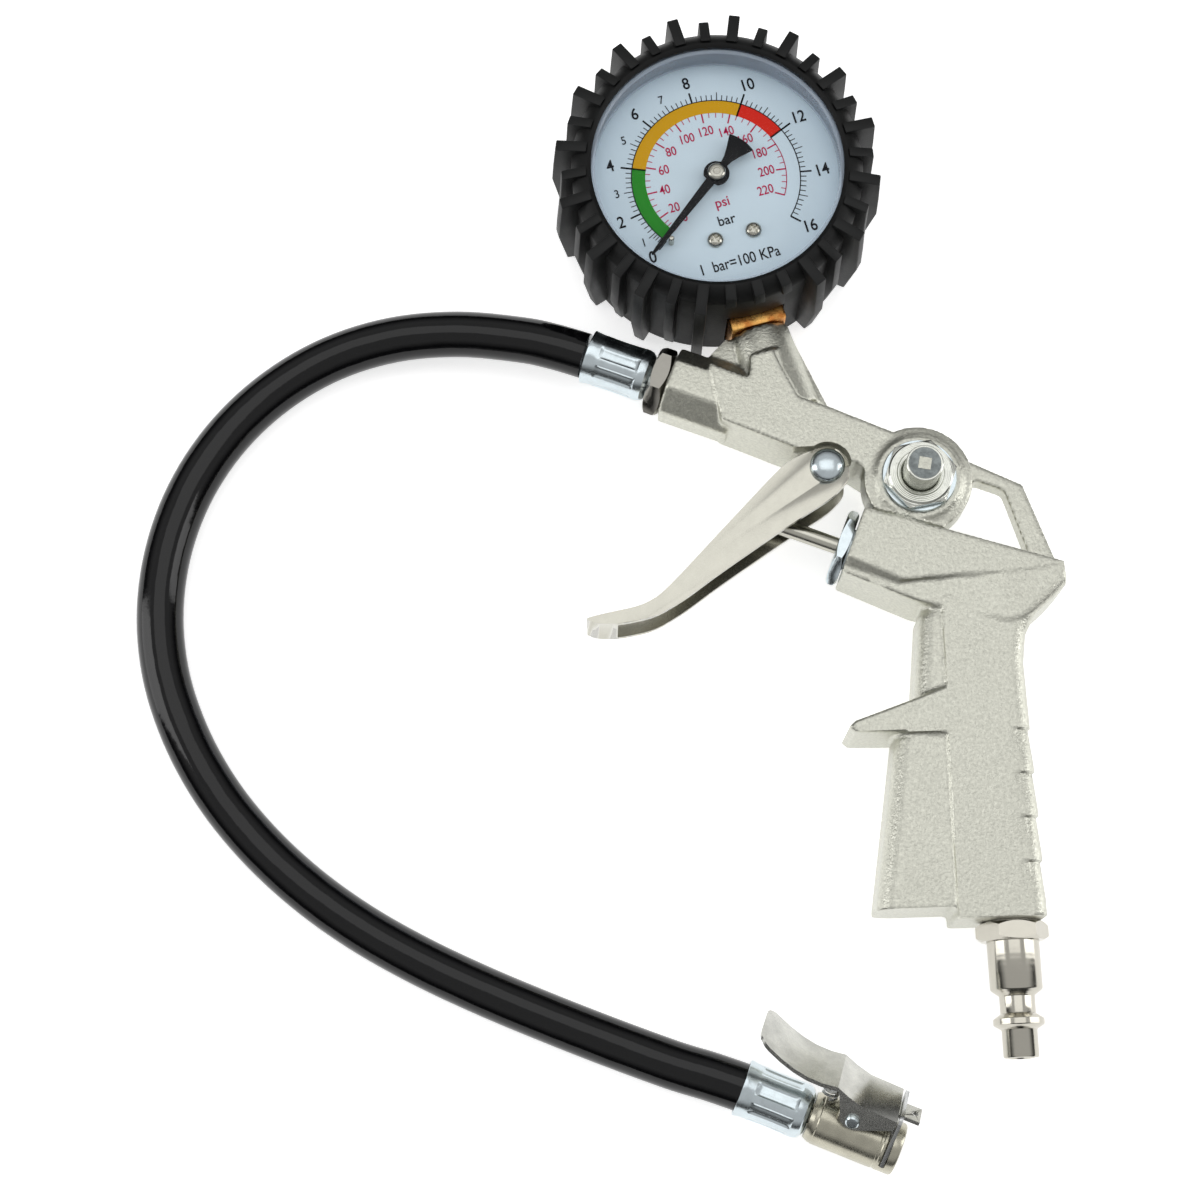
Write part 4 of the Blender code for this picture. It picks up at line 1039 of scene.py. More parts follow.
@dataclass(frozen=True)
class Ferrule:
    """A crimped sleeve over a hose end, flared at the hose."""

    name: str
    node: str
    length: float = 16.0
    panels: int = 8
    crimp: float = 0.34

    def side(self) -> list[Point2]:
        """The outline of the sleeve from its domed end to its flare, as radius and height."""
        outer = [(3.4, 0.0), (4.7, 0.0), (5.5, 0.45), (6.05, 1.1), (6.3, 2.0), (6.35, 3.0)]
        outer += [(6.28 - 0.12 * math.sin(math.pi * (h - 3.2) / 9.6), h)
                  for h in (3.2 + 0.6 * i for i in range(17))]
        outer += [(6.25, 13.2), (6.3, 14.0), (6.42, 15.0), (6.52, 15.6), (6.5, 15.9), (6.3, 16.0)]
        inner = [(6.1, 15.9), (5.75, 14.6), (5.55, 12.0), (5.5, 1.8), (3.4, 1.2), (3.4, 0.0)]
        return outer + inner

    def build(self, place: Place, start: float, direction: int, palette: Palette
              ) -> bpy.types.Object:
        """Turn the sleeve and press its crimped panels.

        Args:
            place: Axis that it lies on.
            start: Height of its domed end.
            direction: 1 if the hose leaves up local Z, or -1.
            palette: The finishes.

        Returns:
            The sleeve.
        """
        obj = turned(self.name, self.side(), 128)
        for vertex in obj.data.vertices:
            x, y, z = vertex.co
            radius = math.hypot(x, y)
            if radius > 5.9 and 3.1 < z < 12.9:
                around = math.cos(self.panels * math.atan2(y, x))
                ends = min(1.0, (z - 3.0) / 0.8, (13.0 - z) / 0.8)
                press = max(0.0, min(1.0, around * 1.8 + 0.75)) * self.crimp * ends
                vertex.co.x -= x / radius * press
                vertex.co.y -= y / radius * press
        turn_piece(obj, Matrix.Translation((0, 0, start)) @ Matrix.Diagonal((1, 1, direction, 1)))
        recalculate(obj)
        settle(smooth(obj, 24), place)
        return fit(obj, Body.GUN, palette["zinc"], [self.node])


# ------------------------------------------------------------------------ gun


@dataclass(frozen=True)
class Casting:
    """The die-cast gun body, in the gun's millimetres, even about its middle plane."""

    core_half: float = 10.0
    web_half: float = 9.1
    housing_half: float = 10.8
    barrel_half: float = 9.4
    voxel: float = 0.5
    core: tuple[Point2, ...] = (
        (-13.2, 30.2), (6.9, 30.2), (6.6, 60.0), (6.0, 88.0), (6.9, 94.5), (9.6, 99.5),
        (13.6, 104.6), (-11.9, 103.4), (-12.2, 82.6), (-12.7, 72.0))
    web: tuple[Point2, ...] = (
        (-30.9, 32.9), (0.0, 32.9), (0.0, 108.0), (-13.0, 107.0), (-16.9, 100.0),
        (-19.4, 79.0), (-24.2, 72.0))
    rest: tuple[Point2, ...] = (
        (-10.0, 83.2), (-14.0, 82.2), (-21.3, 79.6), (-33.4, 75.5), (-34.9, 74.1),
        (-33.4, 72.8), (-10.0, 72.2))
    housing: tuple[Point2, ...] = (
        (-34.3, 110.7), (-17.6, 102.8), (0.0, 97.0), (9.4, 99.2), (13.9, 102.9),
        (17.0, 106.0), (16.7, 111.0), (-28.2, 125.5))
    face: tuple[Point2, ...] = (
        (-34.3, 110.7), (-26.6, 107.3), (8.6, 109.6), (13.5, 110.2), (16.6, 111.0),
        (-28.2, 125.5))
    barrel: tuple[Point2, ...] = (
        (-60.2, 148.2), (-44.2, 141.0), (-38.0, 138.2), (-29.8, 136.8), (-25.5, 133.6),
        (-25.3, 127.6), (-22.0, 118.0), (-12.0, 117.0), (-3.0, 131.0), (-3.4, 136.6),
        (-16.3, 141.9), (-34.5, 150.3), (-41.9, 153.3), (-45.0, 166.0), (-52.6, 164.0),
        (-53.2, 158.3), (-62.5, 162.4))
    gusset: tuple[Point2, ...] = (
        (-42.6, 171.2), (-33.9, 151.0), (-45.0, 148.0), (-50.0, 160.0), (-47.0, 170.4))
    fin: tuple[Point2, ...] = (
        (-62.2, 164.0), (-61.9, 166.2), (-58.0, 170.2), (-52.0, 169.0), (-54.0, 158.0))
    loop: tuple[Point2, ...] = (
        (-15.0, 114.0), (16.4, 106.5), (16.9, 111.4), (9.9, 131.9), (-5.0, 139.4),
        (-15.0, 137.0))
    opening: tuple[Point2, ...] = ((-10.6, 121.3), (-1.3, 133.3), (5.5, 130.6), (10.4, 113.9))
    notches: tuple[float, ...] = (42.6, 52.6, 62.6, 72.6)
    pivot: Point2 = (-36.0, 136.4)
    bleed: Point2 = (-15.3, 132.2)

    def block(self, name: str, outline: Sequence[Point2], half: float) -> bpy.types.Object:
        """One slab of the casting."""
        return slab(name, outline, -half, half)

    def rounded(self, obj: bpy.types.Object, half: float, width: float,
                wanted: Callable[[Vector, Vector], bool]) -> bpy.types.Object:
        """Round the front and back edges of a slab that a test picks.

        Args:
            obj: The slab.
            half: Its half thickness.
            width: Radius of the rounding.
            wanted: Test on an edge's two ends.

        Returns:
            The slab.
        """
        return bevel_where(obj, lambda a, b: abs(abs(a.z) - half) < 0.01 and a.z * b.z > 0
                           and abs(a.z - b.z) < 0.01 and wanted(a, b), width)

    def blocks(self) -> list[bpy.types.Object]:
        """Every slab and rib, each with its own roundings."""
        core = self.rounded(self.block("core", self.core, self.core_half), self.core_half, 3.1,
                            lambda a, b: a.x > 5.9 and b.x > 5.9 and abs(a.y - b.y) > 1.0)
        web = self.rounded(self.block("web", self.web, self.web_half), self.web_half, 4.2,
                           lambda a, b: a.x < -10 and b.x < -10 and abs(a.y - b.y) > 3.0)
        rest = self.rounded(self.block("rest", self.rest, self.core_half), self.core_half, 1.3,
                            lambda a, b: a.x < -12 and b.x < -12)
        neck = self.rounded(self.block("neck", self.housing, self.core_half + 0.5),
                            self.core_half + 0.5, 5.2,
                            lambda a, b: (a.x < 1 and b.x < 1 and a.y < 111 and b.y < 111)
                            or (a.x > 8 and b.x > 8 and a.y < 107 and b.y < 107))
        for side in (1, -1):
            self.shave(neck, Vector((-26, 107, side * (self.core_half - 0.9))),
                       Vector((-0.050, 0.0, side * 1.0)))
        face = self.block("face", self.face, self.housing_half)
        for side in (1, -1):
            self.shave(face, Vector((-31.5, 113.2, side * self.housing_half)),
                       Vector((-0.36, -0.76, side * 0.72)))
        barrel = self.block("barrel", self.barrel, self.barrel_half)
        bevel_where(barrel, lambda a, b: abs(a.z - b.z) < 0.01 and abs(a.x + 43.45) < 1.7
                    and abs(b.x + 43.45) < 1.7 and abs(a.y - b.y) > 8, 2.6, 1)
        lug = (*arc(self.pivot, 4.4, 180, 380, 16), (-31.0, 145.0), (-42.0, 146.0))
        return [core, web, rest, neck, face, barrel, self.block("gusset", self.gusset, 3.2),
                self.block("fin", self.fin, 3.0), self.block("loop", self.loop, 2.9),
                self.block("lug", lug, 5.2)]

    @staticmethod
    def shave(obj: bpy.types.Object, point: Vector, normal: Vector) -> bpy.types.Object:
        """Plane away what lies beyond a plane, and close the cut."""
        edit(obj)
        bpy.ops.mesh.bisect(plane_co=point, plane_no=normal, clear_outer=True, use_fill=True)
        close()
        return obj

    def ear_pocket(self, side: int) -> bpy.types.Object:
        """The pocket beside the pivot lug that one ear of the trigger swings in."""
        outline = (*arc(self.pivot, 5.5, 40, 10, 4), *arc(self.pivot, 6.3, -15, -50, 5),
                   (-36.0, 126.0), (-60.0, 126.0), (-50.0, 140.6),
                   *arc(self.pivot, 5.4, 125, 55, 8))
        low, high = sorted((side * 5.2, side * 14.0))
        return slab("ear_pocket", outline, low, high)

    def round_parts(self, layout: Layout) -> list[bpy.types.Object]:
        """The nose, the gauge boss and the bleed boss, brought into the gun's axes."""
        to_gun = layout.gun.matrix().inverted()
        nose = rod("nose", 9.75, -17.0, 0.0, 8)
        turn_piece(nose, Matrix.Diagonal((0.96, 0.93, 1, 1)) @ Matrix.Rotation(math.pi / 8, 4, "Z"))
        bevel(nose, 0.5, 2)
        turn_piece(nose, to_gun @ layout.outlet.matrix())
        boss = turned("boss", ((0, -58), (9.0, -58), (7.3, -37.2), (0, -37.2)), 64)
        turn_piece(boss, to_gun @ layout.stem.matrix())
        bleed = turned("bleed_boss", ((0, 0), (12.6, 0), (12.6, 9.2), (11.2, 9.5), (10.2, 9.9),
                                      (9.75, 10.5), (0, 10.5)), 96)
        turn_piece(bleed, to_gun @ layout.bleed.matrix())
        return [nose, boss, bleed]

    def bores(self, layout: Layout) -> bpy.types.Object:
        """Every machined bore, as one cutter."""
        to_gun = layout.gun.matrix().inverted()
        along = {"valve": layout.valve, "outlet": layout.outlet, "stem": layout.stem,
                 "bleed": layout.bleed, "plug": layout.plug, "pivot": layout.pivot}
        holes = (("valve", 5.3, -6.0, 34.0), ("outlet", 5.1, -12.0, 6.0),
                 ("outlet", 3.0, -62.0, -11.0), ("stem", 5.0, -48.5, -30.0),
                 ("stem", 2.2, -64.0, -48.0), ("bleed", 6.3, 3.5, 16.0),
                 ("bleed", 1.6, -3.2, 4.0), ("plug", 6.5, 20.0, 41.5), ("plug", 3.2, 41.0, 106.0),
                 ("pivot", 2.3, -20.0, 20.0))
        tools = [turn_piece(rod("hole", radius, low, high, 48), to_gun @ along[axis].matrix())
                 for axis, radius, low, high in holes]
        return fuse(tools[0], *tools[1:])

    def notch(self, obj: bpy.types.Object) -> None:
        """Press the saw-tooth grip steps into the back edge."""
        moves = []
        for vertex in obj.data.vertices:
            x, y, _ = vertex.co
            if x < 1.4 or y > 73.0 or y < 33.0:
                continue
            for height in self.notches:
                below = height - y
                if 0 <= below < 8.0:
                    reach = min(1.0, (x - 1.4) / 2.4)
                    moves.append((vertex, 0.62 * reach * (1 - below / 8.0)))
        for vertex, depth in moves:
            push = Vector((vertex.normal.x, 0.0, vertex.normal.z))
            vertex.co -= push.normalized() * depth

    def build(self, layout: Layout, palette: Palette) -> bpy.types.Object:
        """Cast the body, soften its edges and machine its bores.

        Args:
            layout: Places of the sub-assemblies.
            palette: The finishes.

        Returns:
            The casting.
        """
        round_parts = self.round_parts(layout)
        blocks = self.blocks()
        lug = blocks.pop()
        for block_with_hole in blocks:
            if block_with_hole.name.split(".")[0] in ("barrel", "loop", "neck", "face"):
                opening = slab("loop_opening", self.opening, -20, 20)
                cut(block_with_hole, bevel_where(opening, lambda a, b: abs(a.z - b.z) > 30,
                                                 1.0, 4))
        obj = join("gun_casting", [*blocks, *round_parts])
        self.melt(obj, self.voxel, 1)
        self.notch(obj)
        cut(obj, self.ear_pocket(1), self.ear_pocket(-1))
        fuse(obj, bevel(lug, 0.5, 2))
        cut(obj, self.bores(layout))
        settle(smooth(obj, 40), layout.gun)
        return fit(obj, Body.GUN, palette["cast"], ["gun_body"])

    @staticmethod
    def melt(obj: bpy.types.Object, voxel: float, passes: int) -> None:
        """Fuse overlapping solids into one skin and soften its edges."""
        remesh = obj.modifiers.new("skin", "REMESH")
        remesh.mode = "VOXEL"
        remesh.voxel_size = voxel
        remesh.use_smooth_shade = True
        if passes:
            soften = obj.modifiers.new("soften", "SMOOTH")
            soften.factor = 0.5
            soften.iterations = passes
        apply_all(obj)


@dataclass(frozen=True)
class AirPlug:
    """The quick-connect plug and its hexagon."""

    def build(self, layout: Layout, palette: Palette) -> None:
        """Turn the plug, with its hexagon and its bore."""
        side = ((0, 40.5), (6.2, 40.5), (6.2, 29.0), (5.9, 28.8), (5.9, 15.2), (5.75, 14.9),
                (4.15, 13.75), (4.0, 13.5), (4.0, 9.95), (4.1, 9.75), (5.6, 8.75), (5.75, 8.55),
                (5.75, 7.35), (5.6, 7.15), (4.1, 6.25), (4.0, 6.05), (4.0, 0.45), (3.85, 0.12),
                (3.6, 0), (0, 0))
        obj = turned("air_plug_turned", side, 96)
        fuse(obj, prism("hexagon", 14.3, 25.8, 29.9, 0.0, 0.9))
        cut(obj, turned("bore", ((0, -2), (3.0, -2), (3.0, 0.0), (2.3, 0.7), (2.3, 44), (0, 44)),
                        48))
        settle(smooth(obj, 28), layout.plug)
        fit(obj, Body.GUN, palette["plug"], ["air_plug"])


@dataclass(frozen=True)
class Trigger:
    """The pressed channel trigger and the rivet that it turns on."""

    half: float = 7.5
    sheet: float = 1.5
    pivot: Point2 = (-36.0, 136.4)
    outline: tuple[Point2, ...] = (
        (-38.4, 140.6), (-36.0, 141.2), (-33.4, 140.5), (-31.5, 138.4), (-30.9, 135.6),
        (-31.2, 132.6), (-35.3, 128.6), (-45.7, 122.4), (-62.2, 111.5), (-70.4, 105.6),
        (-77.3, 101.7), (-85.2, 100.2), (-91.0, 100.4), (-93.7, 101.7), (-90.1, 102.6),
        (-80.4, 104.4), (-75.4, 107.2), (-60.6, 122.5), (-46.7, 136.7), (-43.0, 139.0))
    hollow: tuple[Point2, ...] = (
        (-50.0, 110.0), (-20.0, 126.0), (-24.0, 146.0), (-38.0, 146.0), (-44.6, 136.7),
        (-59.5, 121.5), (-74.4, 106.1), (-79.9, 102.9), (-86.0, 101.9), (-86.0, 96.0))

    spine: tuple[Point2, ...] = (
        (-90.1, 102.6), (-80.4, 104.4), (-75.4, 107.2), (-60.6, 122.5), (-46.7, 136.7),
        (-44.0, 138.4))

    def smoothed(self, outline: Sequence[Point2], passes: int = 2) -> list[Point2]:
        """Round an outline's corners by cutting them off again and again."""
        points = list(outline)
        for _ in range(passes):
            rounded = []
            for a, b in zip(points, points[1:] + points[:1]):
                rounded.append((a[0] * 0.8 + b[0] * 0.2, a[1] * 0.8 + b[1] * 0.2))
                rounded.append((a[0] * 0.2 + b[0] * 0.8, a[1] * 0.2 + b[1] * 0.8))
            points = rounded
        return points

    def on_spine(self, place: Vector) -> bool:
        """Whether a place lies on the lever's outer edge."""
        for a, b in zip(self.spine, self.spine[1:]):
            start, run = Vector(a), Vector(b) - Vector(a)
            t = max(0.0, min(1.0, (place.xy - start).dot(run) / run.length_squared))
            if (place.xy - start - run * t).length < 0.75:
                return True
        return False

    def lever(self, layout: Layout, palette: Palette) -> None:
        """Fold the lever: a slab, hollowed from the grip's side."""
        obj = slab("trigger", self.smoothed(self.outline), -self.half, self.half)
        bevel_where(obj, lambda a, b: abs(a.z - b.z) < 0.01 and self.on_spine(a)
                    and self.on_spine(b), 2.7, 8)
        bevel(obj, 0.45, 3, 60)
        inside = self.half - self.sheet
        cut(obj, slab("hollow", self.hollow, -inside, inside))
        hole = rod("hole", 2.06, -12, 12, 48, self.pivot)
        cut(obj, hole)
        settle(smooth(obj, 32), layout.gun)
        fit(obj, Body.TRIGGER, palette["trigger"], ["trigger_lever"])

    def rivet(self, layout: Layout, palette: Palette) -> None:
        """Turn the rivet with a domed head at each end."""
        under = self.half + 0.15
        dome = [(4.1 * math.cos(math.radians(a)), under + 0.35 + 2.1 * math.sin(math.radians(a)))
                for a in range(90, -1, -10)]
        dome[0] = (0.0, dome[0][1])
        upper = dome + [(4.0, under), (2.0, under)]
        lower = [(radius, -height) for radius, height in reversed(upper)]
        obj = turned("trigger_rivet", upper + lower, 96)
        settle(smooth(obj, 40), layout.pivot)
        fit(obj, Body.GUN, palette["zinc"], ["trigger_pin"])

    def build(self, layout: Layout, palette: Palette) -> None:
        """Make the lever and its rivet."""
        self.lever(layout, palette)
        self.rivet(layout, palette)


@dataclass(frozen=True)
class InletValve:
    """The gland nut and the rod that the trigger pushes."""

    def build(self, layout: Layout, palette: Palette) -> None:
        """Make the gland and the rod."""
        gland = prism("gland", 16.4, -3.0, -0.3, 30.0, 0.7)
        fuse(gland, rod("spigot", 5.0, -1.5, 5.0, 48))
        cut(gland, turned("bore", ((0, -6), (3.1, -6), (3.1, -3.0), (2.06, -2.0), (2.06, 8),
                                   (0, 8)), 48))
        bevel(gland, 0.25, 2, 40)
        settle(smooth(gland, 30), layout.valve)
        fit(gland, Body.GUN, palette["zinc"], ["gland_nut"])
        tip = [(2.0 * math.sin(math.radians(a)), -22.05 - 2.0 * math.cos(math.radians(a)))
               for a in range(90, -1, -15)]
        tip[-1] = (0.0, tip[-1][1])
        push = turned("valve_rod", [(0, 17.0), (2.0, 17.0), *tip], 48)
        settle(push, layout.valve)
        fit(push, Body.ROD, palette["trigger"], ["push_rod"])


@dataclass(frozen=True)
class BleedValve:
    """The push button with its hexagon nut and round flange."""

    def build(self, layout: Layout, palette: Palette) -> None:
        """Make the flange, the nut and the button."""
        washer = turned("bleed_flange", ((6.6, 10.8), (8.5, 10.8), (8.65, 11.1), (8.45, 11.5),
                                         (6.6, 11.5), (6.6, 10.8)), 96)
        settle(washer, layout.bleed)
        fit(washer, Body.GUN, palette["zinc"], ["bleed_washer"])
        side = [(7.1, 13.7), (7.4, 13.45), (7.5, 13.0), (7.5, 11.8), (6.0, 11.6), (6.0, 4.0),
                (5.2, 4.0), (5.2, 9.9), (4.4, 10.4), (4.4, 13.2), (4.75, 13.5), (5.4, 13.55),
                (5.5, 13.7), (7.1, 13.7)]
        nut = turned("bleed_nut_body", side, 96)
        flats = prism("flats", 15.0, 11.75, 13.25, 10.0, 0.6)
        cut(flats, rod("bore", 6.5, 10, 15, 64))
        bevel(flats, 0.12, 2)
        nut = join("bleed_nut_turned", [nut, flats])
        settle(smooth(nut, 28), layout.bleed)
        fit(nut, Body.GUN, palette["nut"], ["bleed_nut"])
        face = [(0, 20.75), (1.4, 20.75), (3.2, 20.82), (3.75, 20.98), (4.05, 21.0), (4.2, 20.9),
                (4.25, 20.6), (4.25, 9.7), (5.0, 9.4), (5.0, 8.2), (1.0, 8.2), (1.0, 0.6), (0, 0.6)]
        button = turned("bleed_button_turned", face, 96)
        settle(button, layout.bleed)
        fit(button, Body.BUTTON, palette["nut"], ["bleed_button"])
        cap = turned("bleed_button_face", ((0, 20.72), (3.66, 20.72), (3.78, 20.97), (3.2, 20.93),
                                           (0, 20.84)), 96)
        settle(cap, layout.bleed)
        fit(cap, Body.BUTTON, palette["button"])
        mark = block("bleed_button_mark", (-1.45, -1.45, 20.8), (1.45, 1.45, 20.93))
        bevel(mark, 0.06, 1)
        turn_piece(mark, Matrix.Rotation(math.radians(-12), 4, "Z"))
        settle(mark, layout.bleed)
        fit(mark, Body.BUTTON, palette["cast"])


@dataclass(frozen=True)
class HoseNipple:
    """The dark hexagon nipple between the barrel and the hose."""

    def build(self, layout: Layout, palette: Palette) -> None:
        """Turn the barb and add the hexagon."""
        side = ((0, 17.6), (2.6, 17.6), (3.1, 14.6), (2.7, 14.6), (3.1, 10.6), (2.7, 10.6),
                (2.7, 4.2), (4.6, 4.2), (4.7, 0.3), (4.7, -9.0), (0, -9.0))
        obj = turned("nipple", side, 64)
        fuse(obj, prism("hexagon", 15.0, 0.3, 4.3, 30.0, 0.9))
        cut(obj, rod("bore", 1.6, -12, 22, 32))
        bevel(obj, 0.15, 2, 40)
        settle(smooth(obj, 30), layout.outlet)
        fit(obj, Body.GUN, palette["dark"], ["hose_nipple"])


# ------------------------------------------------------------------------ gauge


@dataclass(frozen=True)
class Boot:
    """The rubber boot with blocks round it like a tyre's tread."""

    treads: int = 32
    first: float = 81.4
    dial_turn: float = 14.0
    large: tuple[Point2, ...] = ((31.0, 20.75), (38.4, 19.7), (39.0, 11.0), (39.4, 3.0),
                                 (37.4, -10.4), (33.0, -11.4), (33.0, 15.5))
    small: tuple[Point2, ...] = ((31.0, 20.7), (36.9, 18.9), (37.6, 3.0), (35.8, -8.6),
                                 (33.0, -9.6), (33.0, 15.5))
    stub: tuple[Point2, ...] = ((31.0, 20.65), (34.6, 19.7), (35.5, 16.5), (33.0, 15.5))

    def tread(self, side: Sequence[Point2], half: float) -> bpy.types.Object:
        """One tread block, standing at three o'clock."""
        obj = slab("tread", side, -half, half)
        bevel(obj, 0.28, 2, 20)
        return turn_piece(obj, Matrix.Rotation(math.pi / 2, 4, "X"))

    def build(self, layout: Layout, palette: Palette) -> None:
        """Mould the boot and its tread blocks.

        Args:
            layout: Places of the sub-assemblies.
            palette: The finishes.
        """
        side = [(30.3, 19.75), (30.8, 19.95), (31.6, 19.8), (32.9, 18.9), (34.3, 17.2),
                (34.5, 16.4), (34.2, -12.0), (20.0, -12.0), (20.0, -9.9), (31.45, -9.9),
                (31.45, 18.9), (29.85, 18.9), (29.85, 19.4), (30.3, 19.75)]
        boot = turned("gauge_boot_moulded", side, 160)
        window = block("window", (-7.1, -7.1, -45.0), (7.1, 7.1, -29.0))
        turn_piece(window, layout.dial.matrix().inverted() @ layout.stem.matrix())
        cut(boot, window)
        settle(smooth(boot, 30), layout.dial)
        fit(boot, Body.GUN, palette["boot"], ["gauge_boot"])
        models = {"large": self.tread(self.large, 1.35), "small": self.tread(self.small, 1.2),
                  "stub": self.tread(self.stub, 1.25)}
        copies = []
        for i in range(self.treads):
            bearing = self.first + 360.0 / self.treads * i
            near_stem = abs((bearing - 284.0 + 180) % 360 - 180) < 15
            kind = "stub" if near_stem else ("large" if i % 2 == 0 else "small")
            copy = models[kind].copy()
            copy.data = models[kind].data.copy()
            bpy.context.scene.collection.objects.link(copy)
            copies.append(turn_piece(copy, Matrix.Rotation(
                math.radians(bearing - self.dial_turn), 4, "Z")))
        for model in models.values():
            bpy.data.objects.remove(model, do_unlink=True)
        ring = join("gauge_boot_treads", copies)
        settle(smooth(ring, 30), layout.dial)
        # The treads wear the lighter copy of the boot's rubber: painted light on their faces.
        fit(ring, Body.GUN, palette["tread"])


@dataclass
class DialPrint:
    """The scales, colour band and words printed on the dial."""

    layout: Layout
    palette: Palette
    height: float = 11.02
    thick: float = 0.05
    inks: dict[str, list[bpy.types.Object]] = field(default_factory=dict)

    def bearing(self, bar: float) -> float:
        """Bearing of a pressure, clockwise from the dial's top, in degrees."""
        return -127.5 + 9.375 * bar if bar < 1 else -135.0 + 16.875 * bar

    def ink(self, colour: str, obj: bpy.types.Object) -> None:
        """Keep a printed shape for its colour."""
        self.inks.setdefault(colour, []).append(obj)

    def tick(self, colour: str, bearing: float, start: float, end: float, width: float) -> None:
        """Print one radial line."""
        obj = block("tick", (-width / 2, start, self.height),
                    (width / 2, end, self.height + self.thick))
        self.ink(colour, turn_piece(obj, Matrix.Rotation(-math.radians(bearing), 4, "Z")))

    def band(self, colour: str, inner: float, outer: float, start: float, end: float,
             lift: float = 0.0) -> None:
        """Print one arc between two bearings."""
        steps = max(4, int(abs(end - start) / 1.5))
        outside = arc((0, 0), outer, 90 - start, 90 - end, steps)
        inside = arc((0, 0), inner, 90 - end, 90 - start, steps)
        low = self.height + lift
        self.ink(colour, slab("band", outside + inside, low, low + self.thick))

    def word(self, colour: str, text: str, at: Point2, height: float, weight: float = 0.0,
             width: float = 0.86, spacing: float = 1.0, bearing: float = 0.0) -> None:
        """Print a word with its middle at a place.

        Args:
            colour: Its ink.
            text: Its letters.
            at: Middle of the word.
            height: Height of its figures.
            weight: Extra weight of its strokes.
            width: Width of its letters against their height.
            spacing: Spacing of its letters.
            bearing: Turn, clockwise, in degrees.
        """
        curve = bpy.data.curves.new("word", "FONT")
        curve.body = text
        curve.align_x, curve.align_y = "CENTER", "CENTER"
        curve.size = height / 0.70
        curve.space_character = spacing
        curve.offset = weight
        curve.extrude = self.thick / 2
        curve.resolution_u = 4
        obj = bpy.data.objects.new("word", curve)
        bpy.context.scene.collection.objects.link(obj)
        pick(obj)
        bpy.ops.object.convert(target="MESH")
        obj = bpy.context.object
        turn = Matrix.Rotation(-math.radians(bearing), 4, "Z")
        self.ink(colour, turn_piece(obj, Matrix.Translation((*at, self.height + self.thick))
                                    @ turn @ Matrix.Diagonal((width, 1, 1, 1))))

    def on_circle(self, radius: float, bearing: float) -> Point2:
        """A place at a radius and a bearing."""
        turn = math.radians(bearing)
        return radius * math.sin(turn), radius * math.cos(turn)

    def bar_scale(self) -> None:
        """Print the outer scale."""
        for fifth in range(81):
            bar = fifth / 5
            major = fifth % 10 == 0
            end = 22.9 if major else (22.3 if fifth % 5 == 0 else 21.6)
            self.tick("black", self.bearing(bar), 20.15, end, 0.42 if major else 0.2)
        self.band("black", 20.05, 20.3, self.bearing(0), self.bearing(16))
        for bar in range(0, 17, 2):
            self.word("black", str(bar), self.on_circle(25.4, self.bearing(bar)), 2.95, 0.05)
        for bar in (1, 3, 5, 7):
            self.word("black", str(bar), self.on_circle(24.0, self.bearing(bar)), 2.1, 0.01)

    def psi_scale(self) -> None:
        """Print the inner scale."""
        for step in range(0, 45):
            psi = 5 * step
            major = step % 4 == 0
            self.tick("crimson", self.bearing(psi / 14.504), 14.5 if major else 15.7, 16.9,
                      0.34 if major else 0.18)
        self.band("crimson", 16.75, 16.95, self.bearing(12), self.bearing(220 / 14.504))
        for psi in range(0, 221, 20):
            place = self.on_circle(12.2 if psi >= 100 else 12.6, self.bearing(psi / 14.504))
            self.word("crimson", str(psi), place, 2.3, 0.02, 0.8)

    def build(self) -> None:
        """Print everything and join it by ink."""
        self.band("green", 16.9, 20.1, self.bearing(0), self.bearing(4))
        self.band("amber", 16.9, 20.1, self.bearing(4), self.bearing(10))
        self.band("red", 16.9, 20.1, self.bearing(10), self.bearing(12))
        for bar in (4, 10, 12):
            self.tick("black", self.bearing(bar), 16.8, 22.9, 0.42)
        self.bar_scale()
        self.psi_scale()
        turn = Matrix.Rotation(-math.radians(14.0), 2)
        psi_at, bar_at, note_at = (tuple(turn @ Vector(place)) for place in
                                   ((1.2, -6.3), (2.0, -10.9), (4.6, -21.4)))
        self.word("crimson", "psi", psi_at, 2.5, 0.02, 0.92)
        self.word("black", "bar", bar_at, 2.5, 0.02, 0.92)
        self.word("black", "1  bar=100 KPa", note_at, 2.75, 0.02, 0.80)
        for colour, shapes in self.inks.items():
            obj = join(f"dial_print_{colour}", shapes)
            settle(obj, self.layout.dial)
            fit(obj, Body.GUN, self.palette[colour])


